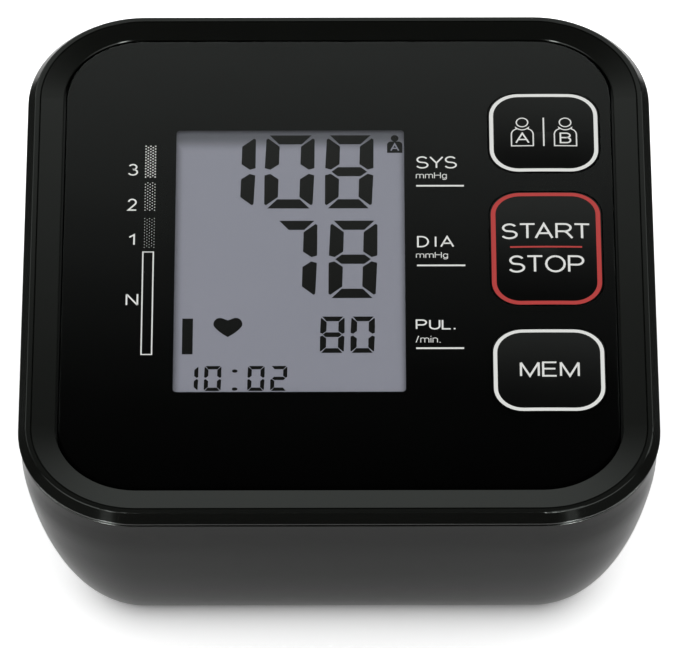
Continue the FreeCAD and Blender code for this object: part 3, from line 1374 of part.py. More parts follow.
def check_and_write(folder="parts"):
    """Stop on any failed object or broken shape; otherwise write one STEP file for each piece."""
    doc.recompute()
    failed = [item.Name for item in doc.Objects if "Invalid" in item.State or "Error" in item.State]
    broken = [item.Label for item in NODES if item.Shape.isNull() or not item.Shape.isValid()]
    if failed or broken:
        raise RuntimeError("failed objects: %s; broken shapes: %s" % (failed, broken))
    os.makedirs(folder, exist_ok=True)
    for item in NODES:
        item.Shape.exportStep(os.path.join(folder, item.Label + ".step"))
    print("%d pieces written" % len(NODES))


make_lower_case()
make_upper_case()
make_front_lens()
frame_ring("lens_tape", ("lens_width - 1", "lens_length - 1"),
           ("lens_width - 1 - 2 * tape_width", "lens_length - 1 - 2 * tape_width"), "deck_top", "tape_thick",
           corner=("lens_corner - 0.5", "lens_corner - 0.5 - tape_width"))
for key, (place, size) in KEYS.items():
    make_key(key, place, size)
    make_switch(key, place)
make_display()
make_main_board()
make_board_parts()
make_battery_door()
make_cells()
make_pump()
make_air_block()
make_tubes()
make_air_socket()
make_release_valve()
make_power_inlet()
make_leads()
make_feet()
make_case_screws()
check_and_write()
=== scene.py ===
"""Looks of a table-top blood pressure monitor: finishes, printed legends, the display's reading and the studio.

Every size below is in millimetres and turned to metres where a mesh is made. The monitor's panel is a
plane tilted up to the back. Its own axes are X across, Y up the panel and H out of it, from the middle
of the lens's face.
"""
import math

import bpy
from mathutils import Matrix, Vector
from mathutils.bvhtree import BVHTree


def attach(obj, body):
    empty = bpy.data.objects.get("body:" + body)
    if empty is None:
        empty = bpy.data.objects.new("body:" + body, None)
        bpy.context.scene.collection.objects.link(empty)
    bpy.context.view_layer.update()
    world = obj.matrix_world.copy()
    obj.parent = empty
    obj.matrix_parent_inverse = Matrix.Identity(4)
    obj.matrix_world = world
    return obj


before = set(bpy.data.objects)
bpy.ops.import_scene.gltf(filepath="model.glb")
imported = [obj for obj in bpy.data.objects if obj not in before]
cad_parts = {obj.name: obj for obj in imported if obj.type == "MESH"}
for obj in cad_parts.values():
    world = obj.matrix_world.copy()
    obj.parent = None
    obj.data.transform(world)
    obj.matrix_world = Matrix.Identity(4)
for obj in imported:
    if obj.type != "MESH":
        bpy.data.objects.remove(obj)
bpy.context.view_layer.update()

MM = 0.001
PANEL_TILT = math.radians(7.0)
PANEL_Y = -0.2681
PANEL_Z = 47.440

# print: how far ink stands above the face that it lies on, and how sharp a corner is still mitred in full
INK_LIFT = 0.02
MITRE_LIMIT = 0.4

# lens, in the panel's axes: its width, length and corner, its thickness, and the window's middle and size
LENS_SIZE = (110.6, 117.2, 15.7)
LENS_THICK = 2.0
WINDOW = (-9.8, 1.7, 46.0, 68.6)
# the print shows from this depth down, and the coat lies where the face's normal points up at least this much
PRINT_DEPTH = 0.35
COAT_UPWARD = 0.985
# the plane of the display's segments
CRYSTAL_H = -2.43

# the cells' sleeves, from the middle of the case: where they end, and where the second colour starts
SLEEVE_END = 24.3
SLEEVE_BAND = 12.0

# the keys' middle, across the panel
KEY_X = 41.4

# pressure scale: the dots' first column, and their pitch across and along
DOTS_X = -38.85
DOT_PITCH = (0.48, 0.4)

# bars of the display's figures, upright and level: the large pair of readings, the pulse and the time
LARGE_BARS = (2.85, 2.42)
PULSE_BARS = (1.24, 1.2)
TIME_BARS = (0.82, 0.84)

# the table: half its side, the middle, half sides and corner of what the monitor covers, the glow that only the camera
# sees, and how far round that the glow takes to come back, which paints a darker shadow round the base
TABLE_REACH = 0.24
FOOT_MIDDLE = (0.0, 3.19, 0.0)
FOOT_HALF = (38.0, 44.49, 0.0)
FOOT_CORNER = 8.85
GLOW = 0.54
PAINTED_SHADOW_REACH = 4.6

# the tent as gloss mirrors it: its faint green cast, then pairs of a height in degrees and a level, behind the
# monitor and round its front
MIRRORED_CAST = (0.93, 1.0, 0.95)
BEHIND = ((-90, 0.04), (28, 0.04), (36, 0.78), (53, 0.77), (55.0, 0.43), (55.7, 0.3), (56.27, 0.215), (56.84, 0.085),
          (57.13, 0.045), (57.4, 0.035), (57.9, 0.004), (58.4, 0.0), (90, 0.0))
BEFORE = ((-90, 0.5), (-15, 10.0), (-6, 10.0), (-3, 0.06), (26, 0.06), (34, 1.2), (72, 1.2), (84, 0.1), (90, 0.0))
# the bright gap at each front corner: its middle and half width as slopes from straight ahead, and its gain
GAP = (0.47, 0.1, 7.0)
# the camera's dark slot: the slopes where it ends and where the wall is whole again, and its level
SLOT = (0.25, 0.3, 0.03)
# how far ahead the tent turns from what stands behind to what stands round the front
TURN = (-0.4, -0.2)
# the light that falls on matt surfaces, in pairs like those above, and its strength
SOFT = ((-90, 1.0), (35, 1.0), (55, 0.8), (90, 0.8))
SOFT_STRENGTH = 1.15
# the tent's cloth is a little uneven
CLOTH_WAVE = 0.001


def on_panel(x, y, h):
    """The place in the base frame of a point given in the panel's axes."""
    return Vector((x, PANEL_Y + y * math.cos(PANEL_TILT) - h * math.sin(PANEL_TILT),
                   PANEL_Z + y * math.sin(PANEL_TILT) + h * math.cos(PANEL_TILT))) * MM


# ---------------------------------------------------------------- colours and nodes

def linear(hex_colour):
    """A colour written as sRGB hex, in the linear values that shaders take."""
    parts = [int(hex_colour[i:i + 2], 16) / 255 for i in (1, 3, 5)]
    return [c / 12.92 if c <= 0.04045 else ((c + 0.055) / 1.055) ** 2.4 for c in parts] + [1.0]


def add(tree, kind, inputs=None, **settings):
    """Adds one node with its settings, and gives each named or numbered input a value or a link."""
    item = tree.nodes.new("ShaderNode" + kind)
    for key, setting in settings.items():
        setattr(item, key, setting)
    for socket, given in (inputs or {}).items():
        if isinstance(given, bpy.types.NodeSocket):
            tree.links.new(given, item.inputs[socket])
        else:
            item.inputs[socket].default_value = given
    return item.outputs


def blank(name):
    """A new material with nothing in it but its output."""
    material = bpy.data.materials.new(name)
    material.use_nodes = True
    tree = material.node_tree
    tree.nodes.clear()
    return material, tree, tree.nodes.new("ShaderNodeOutputMaterial").inputs["Surface"]


def place(tree, scale=1000.0, stretch=(1, 1, 1)):
    """The point on the piece in millimetres, times stretch."""
    point = add(tree, "TexCoord")["Object"]
    return add(tree, "Mapping", {"Vector": point, "Scale": [scale * s for s in stretch]})["Vector"]


def mixed(tree, amount, first, second):
    """A blend of two colours or of a colour and a pattern."""
    return add(tree, "Mix", {0: amount, 6: first, 7: second}, data_type="RGBA")[2]


def between(tree, pattern, low, high):
    """A pattern that runs from 0 to 1, turned to run from low to high."""
    return add(tree, "MapRange", {"Value": pattern, "To Min": low, "To Max": high})["Result"]


def moulded(name, colour, roughness, grain, depth, ior=1.53, drift=0.12, **sockets):
    """Moulded plastic or rubber: an even body colour, the mould's spark-eroded grain, and a slow drift in sheen.

    grain is the size of one grain in millimetres and depth how far it stands, also in millimetres.
    """
    material, tree, surface = blank(name)
    spot = place(tree)
    fine = add(tree, "TexNoise", {"Vector": spot, "Scale": 1.0 / grain, "Detail": 3.0, "Roughness": 0.6})["Fac"]
    slow = add(tree, "TexNoise", {"Vector": spot, "Scale": 0.06, "Detail": 2.0})["Fac"]
    bump = add(tree, "Bump", {"Height": fine, "Distance": depth * MM, "Strength": 1.0})["Normal"]
    dark = [c * (1 - drift) for c in linear(colour)[:3]] + [1.0]
    shader = add(tree, "BsdfPrincipled", {
        "Base Color": mixed(tree, fine, dark, linear(colour)),
        "Roughness": between(tree, slow, roughness * (1 - drift), roughness * (1 + drift)),
        "IOR": ior, "Normal": bump})
    for socket, given in sockets.items():
        shader["BSDF"].node.inputs[socket.replace("_", " ")].default_value = given
    tree.links.new(shader["BSDF"], surface)
    return material


def metal(name, colour, roughness, stretch, depth):
    """Bare or plated metal: its own colour, with rolled or turned lines drawn along the piece."""
    material, tree, surface = blank(name)
    lines = add(tree, "TexNoise", {"Vector": place(tree, stretch=stretch), "Scale": 4.0, "Detail": 4.0})["Fac"]
    stain = add(tree, "TexNoise", {"Vector": place(tree), "Scale": 0.35, "Detail": 2.0})["Fac"]
    shader = add(tree, "BsdfPrincipled", {
        "Base Color": mixed(tree, stain, [c * 0.82 for c in linear(colour)[:3]] + [1.0], linear(colour)),
        "Metallic": 1.0,
        "Roughness": between(tree, lines, roughness * 0.75, roughness * 1.25),
        "Normal": add(tree, "Bump", {"Height": lines, "Distance": depth * MM, "Strength": 1.0})["Normal"]})
    tree.links.new(shader["BSDF"], surface)
    return material


# ---------------------------------------------------------------- finishes of the case and the panel

# ABS, moulded in an eroded tool: satin black whose grain breaks up what it mirrors. The grain is drawn at
# 0.35 mm, a few times its real size, so that it shows.
body_abs = moulded("satin_black_abs", "#0A0B09", 0.16, 0.35, 0.0012, Specular_IOR_Level=0.36)

# The same plastic in the rim, where the tool is finer: the grain is about half as deep and the sheen higher.
rim_abs = moulded("fine_satin_black_abs", "#0A0B09", 0.12, 0.35, 0.0007, Specular_IOR_Level=0.5)

# ABS again, lacquered: the key caps, with a soft sheen and a faint mottling.
key_abs = moulded("lacquered_black_abs", "#020202", 0.2, 1.5, 0.001, drift=0.2, Specular_IOR_Level=0.22)


def lens_acrylic():
    """Hard-coated acrylic, printed black on its back except for the window.

    The coat is a deep, nearly perfect gloss, and a slow waviness bends what it mirrors, as a moulded
    panel does. Only the flat outer face mirrors: the ink on the back is bonded to it without an air gap,
    and the coat stops at the rounded edge.
    """
    material, tree, surface = blank("hard_coated_acrylic")
    point = add(tree, "TexCoord")["Object"]
    moved = add(tree, "VectorMath", {0: point, 1: on_panel(0, 0, 0)}, operation="SUBTRACT")["Vector"]
    laid = add(tree, "VectorRotate", {"Vector": moved, "Angle": -PANEL_TILT}, rotation_type="X_AXIS")["Vector"]
    axes = add(tree, "SeparateXYZ", {"Vector": laid})

    def inside(axis, middle, reach):
        away = add(tree, "Math", {0: axes[axis], 1: middle * MM}, operation="SUBTRACT")[0]
        away = add(tree, "Math", {0: away}, operation="ABSOLUTE")[0]
        return add(tree, "Math", {0: away, 1: reach * MM}, operation="LESS_THAN")[0]

    window = add(tree, "Math", {0: inside("X", WINDOW[0], WINDOW[2] / 2), 1: inside("Y", WINDOW[1], WINDOW[3] / 2)},
                 operation="MULTIPLY")[0]
    face = add(tree, "Math", {0: axes["Z"], 1: -PRINT_DEPTH * MM}, operation="GREATER_THAN")[0]
    opening = add(tree, "Mix", {0: face, 2: window, 3: 1.0}, data_type="FLOAT")[0]
    wave = add(tree, "TexNoise", {"Vector": place(tree), "Scale": 0.045, "Detail": 1.0})["Fac"]
    speck = add(tree, "TexNoise", {"Vector": place(tree), "Scale": 1.2, "Detail": 3.0})["Fac"]
    bump = add(tree, "Bump", {"Height": wave, "Distance": 0.01 * MM, "Strength": 1.0})["Normal"]
    inked = add(tree, "BsdfPrincipled", {
        "Base Color": mixed(tree, speck, linear("#010101"), linear("#030303")),
        "Roughness": 0.03, "IOR": 1.49, "Specular IOR Level": 0.0, "Normal": bump})["BSDF"]
    mirror = add(tree, "BsdfGlossy", {"Color": (1, 1, 1, 1), "Roughness": 0.03, "Normal": bump})["BSDF"]
    facing = add(tree, "Fresnel", {"IOR": 1.49, "Normal": bump})["Fac"]
    turned = add(tree, "NewGeometry")
    upward = add(tree, "SeparateXYZ", {"Vector": turned["True Normal"]})["Z"]
    coated = add(tree, "Math", {0: upward, 1: COAT_UPWARD}, operation="GREATER_THAN")[0]
    coated = add(tree, "Math", {0: coated, 1: turned["Backfacing"]}, operation="GREATER_THAN")[0]
    front_only = add(tree, "Math", {0: facing, 1: coated}, operation="MULTIPLY")[0]
    through = add(tree, "BsdfTransparent", {"Color": (0.94, 0.95, 0.95, 1)})["BSDF"]
    clear = add(tree, "MixShader", {0: front_only, 1: through, 2: mirror})[0]
    tree.links.new(add(tree, "MixShader", {0: opening, 1: inked, 2: clear})[0], surface)
    return material


def display_glass():
    """A reflective liquid crystal cell: a grey polariser with a violet cast over a fine brushed reflector.

    Its colour is darkened by place towards the window's edges, most of all at its far end: painted shading where less
    light would reach the reflector.
    """
    material, tree, surface = blank("display_polariser")
    lines = place(tree, stretch=(6, 0.6, 0.6))
    brushed = add(tree, "TexNoise", {"Vector": lines, "Scale": 1.5, "Detail": 2.0})["Fac"]
    cloud = add(tree, "TexNoise", {"Vector": place(tree), "Scale": 0.03, "Detail": 2.0})["Fac"]
    axes = add(tree, "SeparateXYZ", {"Vector": add(tree, "TexCoord")["Object"]})
    left, right = WINDOW[0] - WINDOW[2] / 2, WINDOW[0] + WINDOW[2] / 2
    # each edge with painted shading: its axis, where it starts and ends, and the share of the colour, standing for the
    # light, left at its start
    edges = (("Y", 34.4, 30.3, 0.38), ("X", left, left + 1.7, 0.6), ("X", right, right - 1.3, 0.72))
    # the colour is darkened towards three of the window's edges by place: painted shading, not a cast shadow
    painted_edge_shading = 1.0
    for axis, edge, inner, least in edges:
        painted_edge_dimming = add(tree, "MapRange", {"Value": axes[axis], "From Min": edge * MM, "From Max": inner * MM,
                                     "To Min": least, "To Max": 1.0}, interpolation_type="SMOOTHSTEP")["Result"]
        painted_edge_shading = add(tree, "Math", {0: painted_edge_shading, 1: painted_edge_dimming}, operation="MINIMUM")[0]
    colour = mixed(tree, cloud, linear("#908F9B"), linear("#95939F"))
    shader = add(tree, "BsdfPrincipled", {
        "Base Color": mixed(tree, painted_edge_shading, (0, 0, 0, 1), colour), "Roughness": between(tree, brushed, 0.45, 0.6),
        "IOR": 1.52,
        "Normal": add(tree, "Bump", {"Height": brushed, "Distance": 0.002 * MM, "Strength": 1.0})["Normal"]})
    tree.links.new(shader["BSDF"], surface)
    return material


def ink(name, colour, sheen=0.2):
    """Screen ink: a matt, slightly uneven coat, cured a few hundredths of a millimetre thick."""
    return moulded(name, colour, 0.45, 0.2, 0.001, ior=1.5, drift=0.06, Specular_IOR_Level=sheen)


white_ink = ink("white_screen_ink", "#DCDDDA")
red_ink = ink("red_screen_ink", "#B23A38")
black_ink = ink("black_screen_ink", "#020202", 0.0)
crystal_ink = ink("switched_crystal", "#161615", 0.0)
clear_ink = ink("unswitched_crystal", "#8E8D98", 0.0)


def circuit_board():
    """Glass-epoxy board under green solder mask: a faint weave, and tracks that show as paler runs."""
    material, tree, surface = blank("green_solder_mask")
    spot = place(tree)
    white, black = (1, 1, 1, 1), (0, 0, 0, 1)
    weave = add(tree, "TexChecker", {"Vector": spot, "Scale": 2.0, "Color1": white, "Color2": black})["Fac"]
    tracks = add(tree, "TexBrick", {"Vector": spot, "Scale": 0.35, "Mortar Size": 0.05, "Brick Width": 1.6,
                                    "Color1": black, "Color2": black, "Mortar": white})["Fac"]
    base = mixed(tree, weave, linear("#0F4A2A"), linear("#115130"))
    shader = add(tree, "BsdfPrincipled", {
        "Base Color": mixed(tree, tracks, base, linear("#2A7A47")), "Roughness": 0.3, "IOR": 1.5,
        "Normal": add(tree, "Bump", {"Height": tracks, "Distance": 0.035 * MM, "Strength": 0.6})["Normal"]})
    tree.links.new(shader["BSDF"], surface)
    return material


def cell_jacket():
    """A dry cell: a plain two-colour shrunk sleeve, glossy, with bare steel at both ends."""
    material, tree, surface = blank("shrunk_cell_sleeve")
    along = add(tree, "SeparateXYZ", {"Vector": add(tree, "TexCoord")["Object"]})["Y"]
    from_middle = add(tree, "Math", {0: along}, operation="ABSOLUTE")[0]
    end = add(tree, "Math", {0: from_middle, 1: SLEEVE_END * MM}, operation="GREATER_THAN")[0]
    band = add(tree, "Math", {0: along, 1: SLEEVE_BAND * MM}, operation="GREATER_THAN")[0]
    creases = add(tree, "TexNoise", {"Vector": place(tree), "Scale": 0.5, "Detail": 3.0})["Fac"]
    sleeve = mixed(tree, band, linear("#2A2C2E"), linear("#B98A3C"))
    colour = mixed(tree, end, sleeve, linear("#C9C9C4"))
    shader = add(tree, "BsdfPrincipled", {
        "Base Color": colour, "Metallic": end, "Roughness": between(tree, creases, 0.18, 0.3)})
    tree.links.new(shader["BSDF"], surface)
    return material


def striped_rubber():
    """Display strips: soft silicone with fine conducting layers, drawn 0.5 mm apart so that they show."""
    material, tree, surface = blank("layered_silicone")
    stripes = add(tree, "TexWave", {"Vector": place(tree), "Scale": 0.314, "Distortion": 0.0},
                  wave_type="BANDS", bands_direction="X")["Fac"]
    shader = add(tree, "BsdfPrincipled", {
        "Base Color": mixed(tree, stripes, linear("#C9B7A2"), linear("#2B2826")), "Roughness": 0.6, "IOR": 1.41})
    tree.links.new(shader["BSDF"], surface)
    return material


FINISHES = [
    (body_abs, ["lower_case", "battery_door"]),
    (rim_abs, ["upper_case"]),
    (lens_acrylic(), ["front_lens"]),
    (key_abs, ["user_key", "start_stop_key", "memory_key"]),
    (display_glass(), ["display_glass"]),
    # acrylic foam tape and gasket: dark, open-celled and dull
    (moulded("closed_cell_foam", "#262626", 0.95, 0.6, 0.08, ior=1.45), ["lens_tape", "display_gasket"]),
    # ABS moulded white for the parts no one sees
    (moulded("natural_abs", "#D9D8D0", 0.5, 0.4, 0.01), ["display_holder", "lead_plugs", "pressure_sensor"]),
    (striped_rubber(), ["display_strip_front", "display_strip_back"]),
    # tact switches: glass-filled nylon, with the fibres' faint mottling
    (moulded("glass_filled_nylon", "#2B2B2B", 0.55, 0.3, 0.01), ["user_switch", "start_stop_switch", "memory_switch"]),
    # the plungers over them: acetal, slippery and a little shinier
    (moulded("black_acetal", "#1E1E1E", 0.4, 0.5, 0.004, ior=1.48),
     ["user_plunger", "start_stop_plunger", "memory_plunger"]),
    (circuit_board(), ["main_board"]),
    # epoxy moulding compound of the chip, and the buzzer's resin case: dull and finely grained
    (moulded("epoxy_compound", "#202122", 0.62, 0.15, 0.01, ior=1.55), ["controller_chip", "buzzer"]),
    # drawn cans of the crystal and the capacitors: bright, with upright draw lines
    (metal("drawn_nickel_silver", "#C8C6BE", 0.28, (0.3, 0.3, 4), 0.003), ["crystal_can", "board_capacitors"]),
    (cell_jacket(), ["battery_cell_1", "battery_cell_2", "battery_cell_3", "battery_cell_4"]),
    # spring steel of the contacts: warm bright nickel
    (metal("nickel_plated_steel", "#CFC9BA", 0.22, (4, 1, 0.4), 0.002), ["contact_plates", "contact_springs"]),
    # the motor's and the valve's shells: cool grey zinc with rolled lines
    (metal("zinc_plated_steel", "#B9BCC0", 0.33, (0.4, 4, 0.4), 0.004), ["pump_motor", "release_valve"]),
    # turned pieces: darker steel with fine rings from the lathe
    (metal("turned_steel", "#A7A9AB", 0.25, (1, 6, 1), 0.003), ["pump_crank", "valve_plunger"]),
    # the pump's hard parts: white acetal with a soft sheen
    (moulded("white_acetal", "#E2E1DB", 0.42, 0.5, 0.006, ior=1.48), ["crank_case", "pump_cap", "air_block"]),
    # the sleeve that quiets the motor: open, dull sponge
    (moulded("sponge_rubber", "#1D1D1E", 0.9, 0.8, 0.06, ior=1.46), ["pump_sleeve"]),
    # the diaphragm: soft black rubber, nearly matt
    (moulded("moulded_epdm", "#2A2A29", 0.7, 0.3, 0.01, ior=1.5), ["pump_diaphragm"]),
    # air tubes: milky silicone that lets a little light through
    (moulded("silicone_tube", "#D6D4CB", 0.38, 0.7, 0.006, ior=1.41, Transmission_Weight=0.25),
     ["pump_tube", "socket_tube", "valve_tube", "sensor_tube"]),
    # the air socket and the power inlet: matt black plastic
    (moulded("matt_black_abs", "#191A1A", 0.5, 0.3, 0.006), ["air_socket", "power_inlet"]),
    # wires: smooth red vinyl
    (moulded("pvc_lead", "#A32A26", 0.4, 0.5, 0.004, ior=1.54), ["motor_leads", "battery_leads"]),
    # feet: dull grey-black rubber with a coarse grain
    (moulded("foot_rubber", "#1A1A1A", 0.82, 0.4, 0.02, ior=1.5),
     ["front_left_foot", "front_right_foot", "back_left_foot", "back_right_foot"]),
    # screws: bright zinc with lines along the shank
    (metal("zinc_plated_screw", "#C2C4C6", 0.27, (2, 2, 6), 0.003), ["case_screws", "board_screws", "pump_screws"]),
]


def dress():
    """Gives every CAD piece its finish."""
    left = set(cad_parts)
    for material, names in FINISHES:
        for name in names:
            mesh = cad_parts[name].data
            if not mesh.materials:
                mesh.materials.append(material)
            for slot in range(len(mesh.materials)):
                mesh.materials[slot] = material
            left.discard(name)
    if left:
        raise ValueError("no finish for " + ", ".join(sorted(left)))


dress()


# ---------------------------------------------------------------- flat print

def surface_of(node):
    """How high a node's face stands at a point of the panel, found by looking straight down on it."""
    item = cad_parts[node]
    tree = BVHTree.FromPolygons([item.matrix_world @ v.co for v in item.data.vertices],
                                [p.vertices for p in item.data.polygons])
    down = on_panel(0, 0, 0) - on_panel(0, 0, 1)

    def height(x, y):
        hit = tree.ray_cast(on_panel(x, y, 6), down)[3]
        return 6 - hit / MM
    return height


def flat(x, y):
    """The height of the lens's face."""
    return 0.0


def printed(name, shapes, material, body="console", height=flat, lift=INK_LIFT):
    """One mesh of printed shapes. Each shape is its points in the panel's axes and its faces."""
    points, faces = [], []
    for shape_points, shape_faces in shapes:
        faces += [[i + len(points) for i in face] for face in shape_faces]
        points += [on_panel(x, y, height(x, y) + lift) for x, y in shape_points]
    mesh = bpy.data.meshes.new(name)
    mesh.from_pydata(points, [], faces)
    mesh.update()
    mesh.materials.append(material)
    piece = bpy.data.objects.new(name, mesh)
    bpy.context.scene.collection.objects.link(piece)
    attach(piece, body)


def ribbon(path, width, closed=False):
    """A line of even width along a path, mitred at its corners as far as the mitre limit lets it."""
    count = len(path)
    points = []
    for i, (x, y) in enumerate(path):
        before = path[i - 1] if closed or i else path[i]
        after = path[(i + 1) % count] if closed or i < count - 1 else path[i]
        one = Vector((x - before[0], y - before[1]))
        two = Vector((after[0] - x, after[1] - y))
        one = one.normalized() if one.length else two.normalized()
        two = two.normalized() if two.length else one
        normal = Vector((-(one + two).y, (one + two).x)).normalized()
        reach = width / 2 / max(MITRE_LIMIT, normal.dot(Vector((-one.y, one.x))))
        points += [(x + normal.x * reach, y + normal.y * reach), (x - normal.x * reach, y - normal.y * reach)]
    faces = [[2 * i, 2 * i + 1, 2 * ((i + 1) % count) + 1, 2 * ((i + 1) % count)]
             for i in range(count if closed else count - 1)]
    return points, [face[::-1] for face in faces]


def filled(outline):
    """One flat face inside an outline."""
    return outline, [list(range(len(outline)))]


def bar(left, bottom, right, top):
    """A filled rectangle."""
    return filled([(left, bottom), (right, bottom), (right, top), (left, top)])


def arc(x, y, rx, ry, start, end, steps):
    """Points along part of an ellipse; the angles are in degrees."""
    angles = [math.radians(start + (end - start) * i / steps) for i in range(steps + 1)]
    return [(x + rx * math.cos(a), y + ry * math.sin(a)) for a in angles]


def rounded_path(x, y, width, height, corner, steps=10):
    """A closed path round a rounded rectangle, with points along its straight sides."""
    a, b = width / 2 - corner, height / 2 - corner
    quarters = ((1, 1), (-1, 1), (-1, -1), (1, -1))
    arcs = [arc(x + sx * a, y + sy * b, corner, corner, 90 * i, 90 * i + 90, steps)
            for i, (sx, sy) in enumerate(quarters)]
    path = []
    for bend, following in zip(arcs, arcs[1:] + arcs[:1]):
        start, stop = bend[-1], following[0]
        path += bend
        path += [(start[0] + (stop[0] - start[0]) * k / 4, start[1] + (stop[1] - start[1]) * k / 4) for k in (1, 2, 3)]
    return path


# Plain upright letters as the middle lines of their strokes, in cap heights: the width, then the strokes.
# The round parts are arcs of an ellipse: middle, reaches, first and last angle.
STROKES = {
    "A": (0.76, [[(0, 0), (0.38, 1), (0.76, 0)], [(0.13, 0.34), (0.63, 0.34)]]),
    "B": (0.62, [[(0.36, 1), (0, 1), (0, 0), (0.38, 0)], [(0, 0.53), (0.38, 0.53)],
                 [(0.36, 0.765, 0.23, 0.235, 90, -90)], [(0.38, 0.265, 0.24, 0.265, 90, -90)]]),
    "D": (0.63, [[(0.22, 0), (0, 0), (0, 1), (0.22, 1), (0.22, 0.5, 0.41, 0.5, 90, -90)]]),
    "E": (0.6, [[(0.6, 1), (0, 1), (0, 0), (0.6, 0)], [(0, 0.53), (0.55, 0.53)]]),
    "H": (0.66, [[(0, 0), (0, 1)], [(0.66, 0), (0.66, 1)], [(0, 0.53), (0.66, 0.53)]]),
    "I": (0.0, [[(0, 0), (0, 1)]]),
    "L": (0.54, [[(0, 1), (0, 0), (0.54, 0)]]),
    "M": (0.8, [[(0, 0), (0, 1)], [(0, 1), (0.4, 0), (0.8, 1)], [(0.8, 0), (0.8, 1)]]),
    "N": (0.66, [[(0, 0), (0, 1)], [(0, 1), (0.66, 0)], [(0.66, 0), (0.66, 1)]]),
    "O": (0.84, [[(0.42, 0.5, 0.42, 0.5, 90, 450)]]),
    "P": (0.64, [[(0, 0), (0, 1), (0.36, 1), (0.36, 0.725, 0.28, 0.275, 90, -90), (0, 0.45)]]),
    "R": (0.7, [[(0, 0), (0, 1), (0.38, 1), (0.38, 0.74, 0.27, 0.26, 90, -90), (0, 0.48)],
                [(0.36, 0.48), (0.5, 0.36), (0.72, 0)]]),
    "S": (0.66, [[(0.335, 0.745, 0.285, 0.255, 25, 240), (0.335, 0.255, 0.325, 0.255, 62, -160)]]),
    "T": (0.68, [[(0, 1), (0.68, 1)], [(0.34, 1), (0.34, 0)]]),
    "U": (0.64, [[(0, 1), (0, 0.32), (0.32, 0.32, 0.32, 0.32, 180, 360), (0.64, 1)]]),
    "Y": (0.74, [[(0, 1), (0.37, 0.44), (0.74, 1)], [(0.37, 0.44), (0.37, 0)]]),
    "g": (0.46, [[(0.23, 0.35, 0.23, 0.35, 0, 360)], [(0.46, 0.7), (0.46, 0.0), (0.23, -0.02, 0.23, 0.2, 0, -155)]]),
    "i": (0.0, [[(0, 0), (0, 0.7)], [(0, 0.88), (0, 1)]]),
    "m": (0.8, [[(0, 0), (0, 0.7)], [(0.2, 0.5, 0.2, 0.2, 180, 0), (0.4, 0)],
                [(0.6, 0.5, 0.2, 0.2, 180, 0), (0.8, 0)]]),
    "n": (0.44, [[(0, 0), (0, 0.7)], [(0.22, 0.48, 0.22, 0.22, 180, 0), (0.44, 0)]]),
    "/": (0.26, [[(0, 0), (0.26, 1)]]),
    ".": (0.12, [[(0, 0.02), (0.12, 0.02)]]),
    "1": (0.26, [[(0, 0.74), (0.26, 1), (0.26, 0)]]),
    "2": (0.56, [[(0.28, 0.72, 0.27, 0.28, 170, -35), (0.0, 0), (0.58, 0)]]),
    "3": (0.56, [[(0.27, 0.755, 0.24, 0.245, 155, -75), (0.27, 0.265, 0.29, 0.265, 78, -160)]]),
}
# the space between two letters' middle lines, in cap heights
LETTER_GAP = 0.2
# how much nearer than that some pairs stand
CLOSER = {"DI": -0.26, "IA": -0.13, "TA": 0.16, "AT": 0.16, "RT": 0.07, "ST": 0.04, "TO": 0.03, "YS": 0.07,
          "SY": 0.05, "PU": -0.05}


def lettering(text, left, bottom, right, top, weight):
    """Plain words or figures, drawn in strokes of one width, that fill the given rectangle."""
    lines, across = [], 0.0
    for i, letter in enumerate(text):
        width, strokes = STROKES[letter]
        for stroke in strokes:
            line = []
            for spot in stroke:
                line += [spot] if len(spot) == 2 else arc(*spot, 16)
            lines.append([(across + x, y) for x, y in line])
        across += width + LETTER_GAP - CLOSER.get(text[i:i + 2], 0.0)
    spots = [spot for line in lines for spot in line]
    low = [min(s[k] for s in spots) for k in (0, 1)]
    high = [max(s[k] for s in spots) for k in (0, 1)]
    grow = ((right - left - weight) / (high[0] - low[0] or 1), (top - bottom - weight) / (high[1] - low[1] or 1))
    start = (left + weight / 2, bottom + weight / 2)
    return [ribbon([(start[0] + (x - low[0]) * grow[0], start[1] + (y - low[1]) * grow[1]) for x, y in line], weight)
            for line in lines]


# ---------------------------------------------------------------- print on the back of the lens

def lens_border():
    """The second pass of black ink on the lens's back: round the window and along the taped edge."""
    x, y, wide, tall = WINDOW
    round_window = rounded_path(x, y, wide + 4.4, tall + 4.4, 3.1)
    along_edge = rounded_path(0, 0, LENS_SIZE[0] - 2.6, LENS_SIZE[1] - 2.6, LENS_SIZE[2] - 1.3)
    printed("lens_border_ink", [ribbon(round_window, 4.3, True), ribbon(along_edge, 2.4, True)], black_ink,
            lift=0.03 - LENS_THICK)


lens_border()


# ---------------------------------------------------------------- legends round the display

def pressure_scale():
    """The scale at the left: an outlined bar marked N, and three dotted blocks marked 1, 2 and 3."""
    figures = (("3", 22.20, 25.30), ("2", 12.87, 16.05), ("1", 3.74, 6.69), ("N", -12.01, -8.86))
    strokes = []
    for figure, low, high in figures:
        wide = {"1": 1.3, "2": 1.92, "N": 2.5}.get(figure, 2.05)
        middle = -41.1 if figure == "N" else -41.4
        strokes += lettering(figure, middle - wide / 2, low, middle + wide / 2, high, 0.34)
    printed("scale_figures", strokes, white_ink)
    bar_path = [(-39.1, -24.63), (-37.02, -24.63), (-37.02, 1.98), (-39.1, 1.98)]
    printed("scale_bar", [ribbon(bar_path, 0.26, closed=True)], white_ink)
    across, along = DOT_PITCH
    for number, radius, low, high in ((3, 0.165, 21.6, 30.25), (2, 0.12, 12.8, 20.45), (1, 0.085, 2.98, 11.0)):
        rows = round((high - low) / along)
        dots = []
        for row in range(rows + 1):
            for column in range(row % 2, 5, 2):
                x, y = DOTS_X + across * column, low + along / 2 + (high - low - along) * row / rows
                dots.append(filled(arc(x, y, radius, radius, 0, 324, 9)))
        printed("scale_dots_%d" % number, dots, white_ink)


